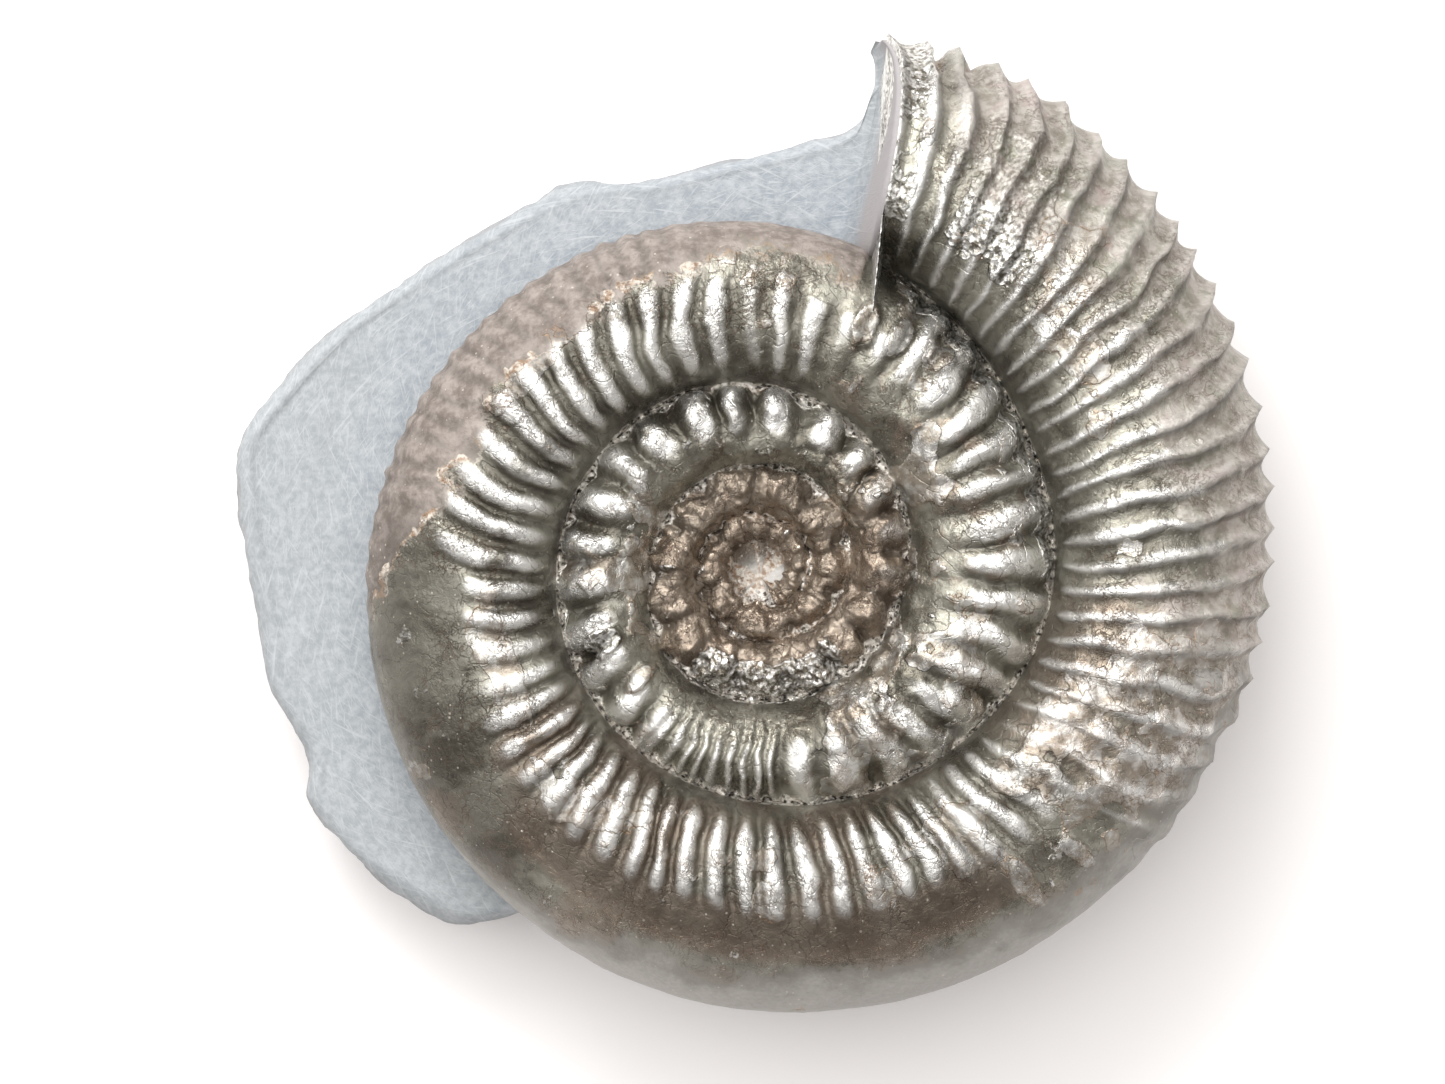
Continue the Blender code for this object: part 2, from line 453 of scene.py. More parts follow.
class Coat(Enum):
    """What covers the coil from place to place, and its painted highlight and shade: the names of its
    mesh's painted attributes.
    """

    # Crest: painted highlight along the rib crests, partly crest wear.
    CREST = "crest"
    FILM = "film"
    BEIGE = "beige"
    BROWN = "brown"
    CRUST = "crust"
    SHELL = "shell"
    CRYSTAL = "crystal"
    UMBER = "umber"
    # Trough: painted shade in the rib troughs and beside the inner seams, and darker at a few listed areas.
    TROUGH = "trough"
    SEAM = "seam"


@dataclass(frozen=True)
class Lump:
    """A blister, tubercle or scar at one place on the flank."""

    angle: float
    radius: float
    long: float
    wide: float
    rise: float
    coat: Coat | None = None


@dataclass
class CoilSurface:
    """Ribs, wear, flakes and crusts of the coil, as relief and as painted coats, with painted highlight on
    the rib crests and painted shade in the troughs and beside the seams.
    """

    plan: CoilPlan
    arc_per_width: float = 1.45
    film_edge: tuple[tuple[float, float], ...] = (
        (0.00, 1.15), (0.20, 1.10), (0.26, 0.90), (0.30, 0.80), (0.34, 0.79), (0.40, 0.76), (0.45, 0.75),
        (0.50, 0.78), (0.54, 0.85), (0.60, 0.95), (0.66, 1.00), (0.72, 1.10), (1.00, 1.2), (4.4, 1.2),
    )  # fmt: skip
    brown_edge: tuple[tuple[float, float], ...] = (
        (0.00, 1.3), (0.64, 1.3), (0.67, 1.00), (0.69, 0.78), (0.72, 0.66), (0.78, 0.64), (0.84, 0.64),
        (0.88, 0.70), (0.93, 0.76), (1.00, 0.80), (1.02, 1.3), (4.4, 1.3),
    )  # fmt: skip
    worn: tuple[Area, ...] = (
        Area(0.70, (0.32, 0.60), 0.02, (0.22, 0.50), 0.08),
        Area(1.00, (0.60, 0.70), 0.015, (0.26, 0.46), 0.05),
        Area(0.90, (0.905, 0.965), 0.008, (0.55, 0.84), 0.05),
        Area(0.80, (0.76, 0.86), 0.02, (0.52, 0.72), 0.04),
        Area(0.75, (1.58, 1.78), 0.02),
        Area(0.50, (0.03, 0.21), 0.02, (0.20, 0.60), 0.10),
        Area(0.45, (1.00, 1.24), 0.02),
    )
    frosted: tuple[Area, ...] = (
        Area(1.00, (0.030, 0.062), 0.006, (0.20, 0.72), 0.08),
        Area(0.42, (-1.0, 0.010), 0.003),
    )
    stained: tuple[Area, ...] = (
        Area(0.50, (0.20, 0.30), 0.02),
        Area(0.90, (0.34, 0.58), 0.03, (0.46, 0.72), 0.08),
    )
    darkened: tuple[Area, ...] = (
        Area(1.00, (0.56, 0.705), 0.02, (0.46, 0.94), 0.06),
        Area(1.00, (0.33, 0.60), 0.03, (0.44, 0.67), 0.07),
    )
    lumps: tuple[Lump, ...] = (
        Lump(67, 22.0, 1.7, 1.0, 0.55, Coat.SHELL),
        Lump(59, 22.4, 1.6, 0.9, 0.45, Coat.SHELL),
        Lump(50, 22.9, 1.3, 1.1, 0.60, Coat.SHELL),
        Lump(70.9, 45.6, 2.6, 0.75, -0.75, Coat.UMBER),
        Lump(67.1, 45.0, 2.3, 0.85, -0.75, Coat.UMBER),
        Lump(205, 14.4, 1.6, 1.2, 0.55, Coat.CRYSTAL),
        Lump(222, 14.0, 1.5, 0.8, 0.40, Coat.SHELL),
        Lump(-28, 12.6, 1.1, 0.8, 0.40, None),
        Lump(-50, 33.5, 2.4, 1.0, 0.45, Coat.SHELL),
        Lump(-42, 35.2, 1.8, 0.8, 0.35, Coat.SHELL),
        Lump(7.5, 36.6, 1.8, 1.1, 0.35, Coat.BEIGE),
        Lump(-14, 38.4, 1.2, 1.0, 0.35, Coat.FILM),
    )

    def relief(self, at: Section) -> tuple[Array, dict[Coat, Array]]:
        """How far the surface stands off the smooth coil, what coats it, and where highlight and shade are
        painted.

        Args:
            at: the points.

        Returns:
            Millimetres, one value a point, and each coat's weight from 0 to 1.
        """
        smooth = at.places()
        turn, reach = at.turn, at.reach
        last = turn < 1.0
        coarse = GRAIN.fractal(smooth, 5.0, 1)
        medium = GRAIN.fractal(smooth, 2.0, 2)
        fine = GRAIN.fractal(smooth, 0.8, 3)
        seam_gap = self.seam_gap(at)

        film_at = curve(self.film_edge, turn) + 0.06 * coarse + 0.05 * medium
        film = ease(reach - film_at, -0.15, 0.17)
        film = np.maximum(film, 1.6 * ease(at.radius, 2.3, 1.8))
        outer_edge = last * ease(at.share + 0.03 * coarse, 1.0, 1.07)
        film = np.maximum(film, outer_edge * window(turn, 0.28, 0.66, 0.04))
        brown_at = curve(self.brown_edge, turn) + 0.07 * coarse + 0.08 * medium
        brown = last * (0.5 + 0.5 * np.clip((reach - brown_at) / 0.14, -1.0, 1.0))
        beige = last * ease(turn, 0.006, 0.03) * ease(turn, 0.30, 0.19)
        beige = beige * ease(reach + 0.20 * coarse + 0.16 * medium, 0.28, 0.70)

        # The crest weight is the painted highlight on the rib crests; the trough weight is painted shade in
        # the troughs.
        rib, crest, trough = self.ribs(at, coarse, medium)
        broken = np.maximum(
            window(turn, 0.215, 0.32, 0.02) * ease(reach, 0.05, 0.3),
            0.8 * window(turn, 1.24, 1.41, 0.02),
        )
        rib *= 1 - 0.35 * broken

        zone = np.maximum(0.9 * broken, strongest(self.worn, turn, reach))
        flakes = GRAIN.fractal(smooth * np.array([1.0, 1.0, 0.6]), 3.4, 11, 4)
        shell = np.clip(0.5 + 1.6 * (flakes + 1.05 * zone - 0.80), 0.0, 1.0)
        shell_step = ease(shell, 0.44, 0.60)

        crystal = strongest(self.frosted, turn, reach)
        crystal = np.maximum(crystal, window(turn, 2.33, 2.54, 0.02) * ease(reach, 0.25, 0.45))
        crystal = np.maximum(crystal, 0.7 * window(turn, 1.02, 1.20, 0.02) * ease(reach, 0.82, 0.92))
        crystal = ease(crystal + 0.5 * medium + 0.25 * fine, 0.35, 0.60)

        crust_wide = np.where(turn < 1.0, 0.35, 0.55) + 0.45 * coarse
        crust = ease(seam_gap, crust_wide + 0.45, crust_wide * 0.4) * ease(medium + fine, -0.7, 0.5)
        crust *= np.where(last, ease(turn, 0.02, 0.08), 1.0)
        band_gap = np.abs(reach - brown_at) / 0.030
        crust_line = ease(band_gap, 1.0, 0.2) * window(turn, 0.655, 0.90, 0.015) * ease(medium, -0.2, 0.3)
        crust = np.maximum(crust, crust_line)
        umber = 0.90 * ease(turn, 1.9, 2.25) + 0.5 * window(turn, 1.0, 1.22, 0.02) * ease(medium, -0.2, 0.5)
        umber = np.maximum(umber, 0.55 * window(turn, 0.33, 0.62, 0.02) * ease(coarse, -0.35, 0.4))
        umber = np.maximum(umber, strongest(self.stained, turn, reach))
        # Painted shade on the inner wall beside the seam, and darker at the listed areas.
        dark = 0.6 * ease(reach, 0.17, 0.04) * (turn < 1.6)
        dark = np.maximum(dark, strongest(self.darkened, turn, reach))

        edge, pick = GRAIN.cells(smooth, 0.85, 5)
        crystal_rise = 0.30 * (pick - 0.5) * ease(edge, 0.0, 0.25)
        lift = rib + 0.05 * medium + 0.025 * fine
        lift += 0.16 * shell_step * (0.6 + 0.5 * medium)
        lift += crystal * (crystal_rise + 0.10 * fine)
        lift += crust * (0.12 + 0.16 * medium + 0.22 * fine)
        lift += broken * (0.30 * coarse + 0.22 * medium)
        lift += window(turn, 1.95, 3.7, 0.15) * (0.34 * medium + 0.16 * fine)
        lift += window(turn, 1.0, 1.95, 0.10) * 0.16 * medium
        lift += 0.06 * brown * (1 - broken) - 0.05 * film
        lift += 0.22 * coarse * window(turn, -1.0, 0.06, 0.02)
        lift += last * 0.30 * ease(turn, 0.045, 0.0) * medium

        seam_width = np.interp(turn, (1.3, 2.4), (1.7, 1.0))
        coats = {
            Coat.CREST: crest,
            Coat.FILM: film,
            Coat.BEIGE: beige,
            Coat.BROWN: brown,
            Coat.CRUST: crust,
            Coat.SHELL: shell,
            Coat.CRYSTAL: crystal,
            Coat.UMBER: np.clip(umber, 0.0, 1.0),
            Coat.TROUGH: np.maximum(trough, 0.72 * dark),
            Coat.SEAM: ease(seam_gap, seam_width, 0.1) * ease(turn, 3.7, 3.3),
        }
        for lump in self.lumps:
            lift = self.add_lump(lump, at, lift, coats, medium)

        lift += self.core_beads(at)
        held = ease(seam_gap, 0.0, 0.7)
        granules = 0.10 + 0.16 * fine + 0.12 * GRAIN.soft(smooth, 0.45, 9)
        beside_seam = ease(seam_gap, 0.9, 0.3) * ease(seam_gap, 0.0, 0.15)
        return lift * held + granules * beside_seam, coats

    def core_beads(self, at: Section) -> Array:
        """Small beads on the innermost turns.

        Args:
            at: the points.

        Returns:
            Millimetres.
        """
        beads = np.cos(at.angle * 13) * np.cos((at.share - 0.62) * 2 * math.pi / 0.75)
        beads = 0.30 * np.clip(beads, 0.0, 1.0) * window(at.turn, 3.35, 5.0, 0.2)
        more = np.cos(at.angle * 17 + 1.0) * np.cos((at.share - 0.5) * 2 * math.pi / 0.9)
        return beads + 0.34 * np.clip(more, 0.0, 1.0) * window(at.turn, 2.45, 3.35, 0.2)

    def seam_gap(self, at: Section) -> Array:
        """Distance from the nearest seam between whorls, along the surface.

        Args:
            at: the points.

        Returns:
            Millimetres.
        """
        last = at.turn < 1.0
        wide = np.where(last, self.plan.outer_radius(at.turn), curve(self.plan.seam, at.turn - 1))
        wide = (wide - curve(self.plan.seam, at.turn)) * self.arc_per_width
        return np.minimum(at.share * wide, np.where(last, FAR, (1 - at.share) * wide))

    def ribs(self, at: Section, coarse: Array, medium: Array) -> tuple[Array, Array, Array]:
        """The ribs' relief, the painted highlight on their crests and the painted shade in the troughs
        between them.

        Args:
            at: the points.
            coarse: slow noise at the points.
            medium: quicker noise at the points.

        Returns:
            Millimetres, and the weights of the crests' painted highlight and the troughs' painted shade
            from 0 to 1.
        """
        turn, reach, share = at.turn, at.reach, at.share
        last = turn < 1.0
        phase = self.plan.rib_phase(turn)
        away = np.abs(phase - np.round(phase)) * 2
        behind = phase % 1.0
        low = 0.42
        drop = np.clip(1 - behind / low, 0.0, 1.0) ** 1.6
        drop = drop + np.clip((behind - low) / (1 - low), 0.0, 1.0) ** 1.8
        roll = 0.5 + 0.5 * np.cos(math.pi * away)
        sharp = last * ease(turn, 0.34, 0.24)
        shape = sharp * (drop - 0.30) + (1 - sharp) * (roll**0.52 - 0.58)

        rise = sharp * (0.46 + 0.46 * ease(reach, 0.25, 0.9))
        lower = window(turn, 0.30, 0.64, 0.03) * ease(reach, 0.64, 0.38) * 0.78
        left = window(turn, 0.64, 0.93, 0.03) * ease(reach, 0.74, 0.52) * 0.82
        top = window(turn, 0.93, 1.0, 0.03) * ease(reach, 0.74, 0.50) * 0.62
        rise = np.maximum.reduce([rise, last * lower, last * left, last * top])
        rise *= 1 - 0.9 * window(turn, 0.635, 0.695, 0.012) * ease(reach, 0.36, 0.52)
        whorl2 = 0.72 * ease(turn, 2.2, 1.9)
        whorl3 = ease(turn, 1.9, 2.2) * 0.55 * ease(turn, 3.6, 2.6) + 0.32 * ease(turn, 2.6, 3.4)
        covered = np.where(last, ease(turn, 0.97, 1.0), 1.0)
        rise = (1 - covered) * rise + covered * (whorl2 + whorl3)
        heads = 1 - covered + covered * (0.30 + 0.95 * ease(reach, 0.20, 0.72))
        heads += 0.6 * window(turn, 1.6, 4.4, 0.05) * window(reach, 0.62, 0.92, 0.08)
        flutes = window(turn, 1.43, 1.535, 0.01)
        fluted = 0.5 + 0.5 * np.cos(2 * math.pi * 2.6 * phase)
        shape = shape * (1 - flutes) + flutes * 0.62 * (fluted - 0.5)
        rise = rise * heads * (1 + 0.30 * coarse + 0.14 * medium)
        under_end = window(turn, 0.97, 1.03, 0.015) * ease(reach, 0.50, 0.70)
        rise = rise * (1 - 0.9 * under_end)

        second = 0.5 + 0.5 * np.cos(2 * math.pi * 1.72 * phase)
        fine_band = last * window(turn, 0.66, 0.90, 0.03) * ease(reach, 0.66, 0.76)
        fine_ribs = 0.24 * (1 + 0.8 * medium) * fine_band * (second - 0.5)
        foot = (1 - covered) * ease(share, 0.06, 0.24) + covered * window(share, 0.20, 0.98, 0.12)
        lift = (rise * shape + fine_ribs) * foot
        # Crest weight: painted highlight along the rib crests.
        crest = np.clip((shape + 0.3) / 0.95, 0.0, 1.0) * np.clip(rise * 1.6, 0.0, 1.0) * foot
        # The crests' painted highlight is kept to the band of the flank where the lights fall: across the
        # middle of the last turn, and on the outer half of the inner turns.
        fading = 0.26 - 0.16 * window(turn, 0.34, 0.62, 0.04)
        highlight_band = 0.25 + 0.75 * ease(reach, 0.04, 0.18) * ease(reach, fading + 0.54, fading + 0.30)
        highlight_band = np.where(last & (turn > 0.34), highlight_band, 1.0)
        inner_highlight_band = (0.40 + 0.60 * ease(reach, 0.28, 0.55)) * ease(turn, 2.5, 1.9)
        crest *= np.where(last, highlight_band, inner_highlight_band) * (1 - under_end)
        # Painted shade: a dark line in the crease behind each sharp crest, and in the valleys between
        # rounded ribs.
        line = np.exp(-(((behind - 0.17) / 0.085) ** 2)) * ease(medium, -0.7, 0.1)
        valley = ease(roll, 0.42, 0.02)
        trough = (sharp * line + (1 - sharp) * 0.6 * valley) * np.clip(rise * 1.5, 0.0, 1.0) * foot
        # Painted shade in the valleys of the fine ribs on the brown band.
        fine_valley_shade = 0.42 * fine_band * ease(second, 0.6, 0.0)
        return lift, crest, np.maximum(trough * (1 - flutes), fine_valley_shade)

    def add_lump(
        self, lump: Lump, at: Section, lift: Array, coats: dict[Coat, Array], rough: Array
    ) -> Array:
        """Raise or sink one lump, and paint its coat.

        Args:
            lump: the lump.
            at: the points.
            lift: the relief so far.
            coats: the coats so far, which are changed.
            rough: noise that makes its edge uneven.

        Returns:
            The new relief.
        """
        turned = (at.angle - math.radians(lump.angle) + math.pi) % (2 * math.pi) - math.pi
        away = np.hypot((at.radius - lump.radius) / lump.long, turned * at.radius / lump.wide)
        inside = ease(away + 0.55 * rough, 1.15, 0.75)
        if lump.coat is Coat.SHELL:
            coats[Coat.SHELL] = np.maximum(coats[Coat.SHELL], np.clip(1.25 - 0.75 * away, 0.0, 1.0))
        elif lump.coat is not None:
            coats[lump.coat] = np.maximum(coats[lump.coat], inside)
        return lift + lump.rise * inside


# ---------------------------------------------------------------- modelling by hand


class Bench:
    """Modelling steps that every piece shares."""

    @staticmethod
    def clear_selection() -> None:
        """Deselect every object."""
        for other in bpy.context.selected_objects:
            other.select_set(False)
        bpy.context.view_layer.objects.active = None

    @classmethod
    def pick(cls, piece: Piece) -> None:
        """Select one object alone and make it active.

        Args:
            piece: the object.
        """
        cls.clear_selection()
        piece.select_set(True)
        bpy.context.view_layer.objects.active = piece

    @classmethod
    @contextmanager
    def editing(cls, piece: Piece) -> Iterator[None]:
        """Edit one mesh, and leave edit mode afterwards.

        Args:
            piece: the mesh's object.

        Yields:
            Nothing.
        """
        cls.pick(piece)
        bpy.ops.object.mode_set(mode="EDIT")
        yield
        bpy.ops.object.mode_set(mode="OBJECT")

    @staticmethod
    def select_rims(kind: str) -> None:
        """Select the open rims of the mesh that is being edited.

        Args:
            kind: VERT or EDGE, what the rims are selected as.
        """
        bpy.ops.mesh.select_all(action="DESELECT")
        bpy.ops.mesh.select_mode(type=kind)
        bpy.ops.mesh.select_non_manifold(extend=False, use_wire=False, use_multi_face=False)

    @classmethod
    def grid(cls, name: str, rows: int, columns: int) -> Piece:
        """A flat grid to be rolled or draped into shape.

        Args:
            name: the piece's name.
            rows: points along it.
            columns: points across it.

        Returns:
            The grid. Its points run across a row first.
        """
        cls.clear_selection()
        bpy.ops.mesh.primitive_grid_add(x_subdivisions=columns - 1, y_subdivisions=rows - 1, size=1.0)
        piece = bpy.context.active_object
        piece.name = name
        piece.data.name = name
        return piece

    @staticmethod
    def set_places(piece: Piece, places: Array) -> None:
        """Move a mesh's points.

        Args:
            piece: the piece.
            places: X, Y and Z in millimetres, one point a row, in the mesh's order.
        """
        piece.data.vertices.foreach_set("co", (places * MM).astype(np.float32).ravel())
        piece.data.update()

    @staticmethod
    def get_places(piece: Piece) -> Array:
        """A mesh's points.

        Args:
            piece: the piece.

        Returns:
            X, Y and Z in millimetres, one point a row.
        """
        flat = np.zeros(len(piece.data.vertices) * 3, np.float32)
        piece.data.vertices.foreach_get("co", flat)
        return flat.reshape(-1, 3).astype(float) / MM

    @staticmethod
    def paint(piece: Piece, name: str, weights: Array) -> None:
        """Store a painted weight on a mesh's points.

        Args:
            piece: the piece.
            name: the attribute's name.
            weights: one value a point.
        """
        layer = piece.data.attributes.new(name, "FLOAT", "POINT")
        layer.data.foreach_set("value", weights.astype(np.float32))

    @classmethod
    def join(cls, pieces: list[Piece]) -> Piece:
        """Join pieces into the first one.

        Args:
            pieces: the pieces.

        Returns:
            The joined piece.
        """
        cls.clear_selection()
        for piece in pieces:
            piece.select_set(True)
        bpy.context.view_layer.objects.active = pieces[0]
        bpy.ops.object.join()
        return pieces[0]

    @classmethod
    def weld(cls, piece: Piece, distance: float) -> None:
        """Merge the points of a piece that lie on each other.

        Args:
            piece: the piece.
            distance: how close they are, in millimetres.
        """
        with cls.editing(piece):
            bpy.ops.mesh.select_all(action="SELECT")
            bpy.ops.mesh.remove_doubles(threshold=distance * MM)

    @classmethod
    def close(cls, piece: Piece) -> None:
        """Fill a piece's open rims and turn all its faces outwards.

        Args:
            piece: the piece.
        """
        with cls.editing(piece):
            cls.select_rims("EDGE")
            bpy.ops.mesh.edge_face_add()
            bpy.ops.mesh.select_all(action="SELECT")
            bpy.ops.mesh.quads_convert_to_tris(quad_method="BEAUTY", ngon_method="BEAUTY")
            bpy.ops.mesh.normals_make_consistent(inside=False)

    @classmethod
    def fan(cls, piece: Piece, chosen: Array) -> None:
        """Close one open rim with a fan of faces round a new middle point, the mesh's last.

        Args:
            piece: the piece.
            chosen: True for each point that may belong to the rim.
        """
        with cls.editing(piece):
            cls.select_rims("VERT")
        for point, here in zip(piece.data.vertices, chosen):
            point.select = point.select and bool(here)
        with cls.editing(piece):
            bpy.ops.mesh.edge_face_add()
            bpy.ops.mesh.poke()

    @classmethod
    def finish_smooth(cls, piece: Piece) -> None:
        """Shade a piece smooth all over."""
        cls.pick(piece)
        bpy.ops.object.shade_smooth()

    @staticmethod
    def triangles(piece: Piece) -> int:
        """How many triangles a piece has."""
        return sum(len(face.vertices) - 2 for face in piece.data.polygons)


# ---------------------------------------------------------------- the fossil


@dataclass
class Ammonite:
    """The coiled fossil: one closed mesh, rolled up from a long grid."""

    plan: CoilPlan = field(default_factory=CoilPlan)
    weld_gap: float = 0.004
    core_dome: float = 0.9
    rim_margin: float = 0.3
    hollow_angle: float = 0.09
    mirror_gap: float = 0.002
    core_film: float = 1.6
    underside_triangles: int = 34_000
    buried_triangles: int = 3_000
    inner_triangles: int = 86_000

    def build(self) -> Piece:
        """Model the fossil.

        Returns:
            The finished piece, painted, with no material.
        """
        surface = CoilSurface(self.plan)
        turns = self.plan.row_turns()
        flank = self.rolled("ammonite_fossil", turns, self.plan.flank_columns, False, surface)
        edge_turns = np.append(turns[turns < 1.0], 1.0)
        edge = self.rolled("outer_edge", edge_turns, self.plan.edge_columns, True, surface)
        piece = Bench.join([flank, edge])
        Bench.weld(piece, self.weld_gap)
        self.close_core(piece)
        self.mirror(piece)
        self.hollow_end(piece)
        Bench.close(piece)
        self.thin(piece)
        Bench.finish_smooth(piece)
        places = Bench.get_places(piece)
        places[:, 2] += self.plan.median_height
        Bench.set_places(piece, places)
        return piece

    def rolled(
        self, name: str, turns: Array, columns: int, outer_edge: bool, surface: CoilSurface
    ) -> Piece:
        """A grid rolled up along the coil, with its relief and its coats.

        Args:
            name: the piece's name.
            turns: turns back from the end, one for each row.
            columns: faces across.
            outer_edge: whether it is the last turn's outer edge, or the flank.
            surface: the relief and coats.

        Returns:
            The rolled grid.
        """
        section = self.plan.section(turns, columns, outer_edge)
        lift, coats = surface.relief(section)
        piece = Bench.grid(name, len(turns), columns + 1)
        places = section.places(lift)
        if outer_edge:
            places[columns :: columns + 1, 2] = 0.0
        Bench.set_places(piece, places)
        for coat, weights in coats.items():
            Bench.paint(piece, coat.value, weights)
        return piece

    def close_core(self, piece: Piece) -> None:
        """Close the hole inside the first turn with the first chamber, a small dome.

        Args:
            piece: the piece.
        """
        rim_radius = curve(self.plan.seam, np.array([self.plan.turns - 1.0]))[0] + self.rim_margin
        places = Bench.get_places(piece)
        Bench.fan(piece, np.hypot(places[:, 0], places[:, 1]) < rim_radius)
        tip = min(piece.data.vertices, key=lambda v: v.co.xy.length)
        tip.co.z += self.core_dome * MM
        piece.data.attributes[Coat.FILM.value].data[tip.index].value = self.core_film

    def hollow_end(self, piece: Piece) -> None:
        """Close the coil's broken end with a shallow hollow, where the rock clings to it.

        Args:
            piece: the piece.
        """
        places = Bench.get_places(piece)
        angle = np.arctan2(places[:, 1], places[:, 0])
        near = (angle > self.plan.end_angle - 0.004) & (angle < self.plan.end_angle + 0.2)
        inner = curve(self.plan.seam, np.array([0.0]))[0] - self.rim_margin
        Bench.fan(piece, near & (np.hypot(places[:, 0], places[:, 1]) > inner))
        centre = piece.data.vertices[-1].co
        turned = math.atan2(centre.y, centre.x) - self.hollow_angle
        radius = centre.xy.length
        centre.x, centre.y = radius * math.cos(turned), radius * math.sin(turned)

    def mirror(self, piece: Piece) -> None:
        """Make the buried flank like the exposed one.

        Args:
            piece: the piece.
        """
        Bench.pick(piece)
        other = piece.modifiers.new("buried flank", "MIRROR")
        other.use_axis = (False, False, True)
        other.merge_threshold = self.mirror_gap * MM
        bpy.ops.object.modifier_apply(modifier=other.name)

    def thin(self, piece: Piece) -> None:
        """Thin the buried turns, the last turn's underside and the inner turns; keep its exposed flank.

        Args:
            piece: the piece.
        """
        for lower, inner, kept in (
            (True, True, self.buried_triangles),
            (True, False, self.underside_triangles),
            (False, True, self.inner_triangles),
        ):
            places = Bench.get_places(piece)
            behind = self.plan.end_angle - np.arctan2(places[:, 1], places[:, 0])
            turn = (behind % (2 * math.pi)) / (2 * math.pi)
            within = np.hypot(places[:, 0], places[:, 1]) < curve(self.plan.seam, turn)
            below = places[:, 2] < -0.2
            self.decimate(piece, (below == lower) & (within == inner), kept)

    def decimate(self, piece: Piece, chosen: Array, kept: int) -> None:
        """Take triangles away from one area.

        Args:
            piece: the piece.
            chosen: True for each point of the area.
            kept: how many triangles the area keeps.
        """
        corners = np.zeros(len(piece.data.loops), np.int32)
        piece.data.loops.foreach_get("vertex_index", corners)
        fewer = int(chosen[corners].sum()) // 3 - kept
        Bench.pick(piece)
        area = piece.vertex_groups.new(name="thinned")
        area.add(np.flatnonzero(chosen).tolist(), 1.0, "REPLACE")
        total = Bench.triangles(piece)
        thinner = piece.modifiers.new("thinner", "DECIMATE")
        thinner.vertex_group = area.name
        thinner.vertex_group_factor = 1.0
        thinner.ratio = (total - fewer) / total
        bpy.ops.object.modifier_apply(modifier=thinner.name)
        piece.vertex_groups.clear()


# ---------------------------------------------------------------- the rock


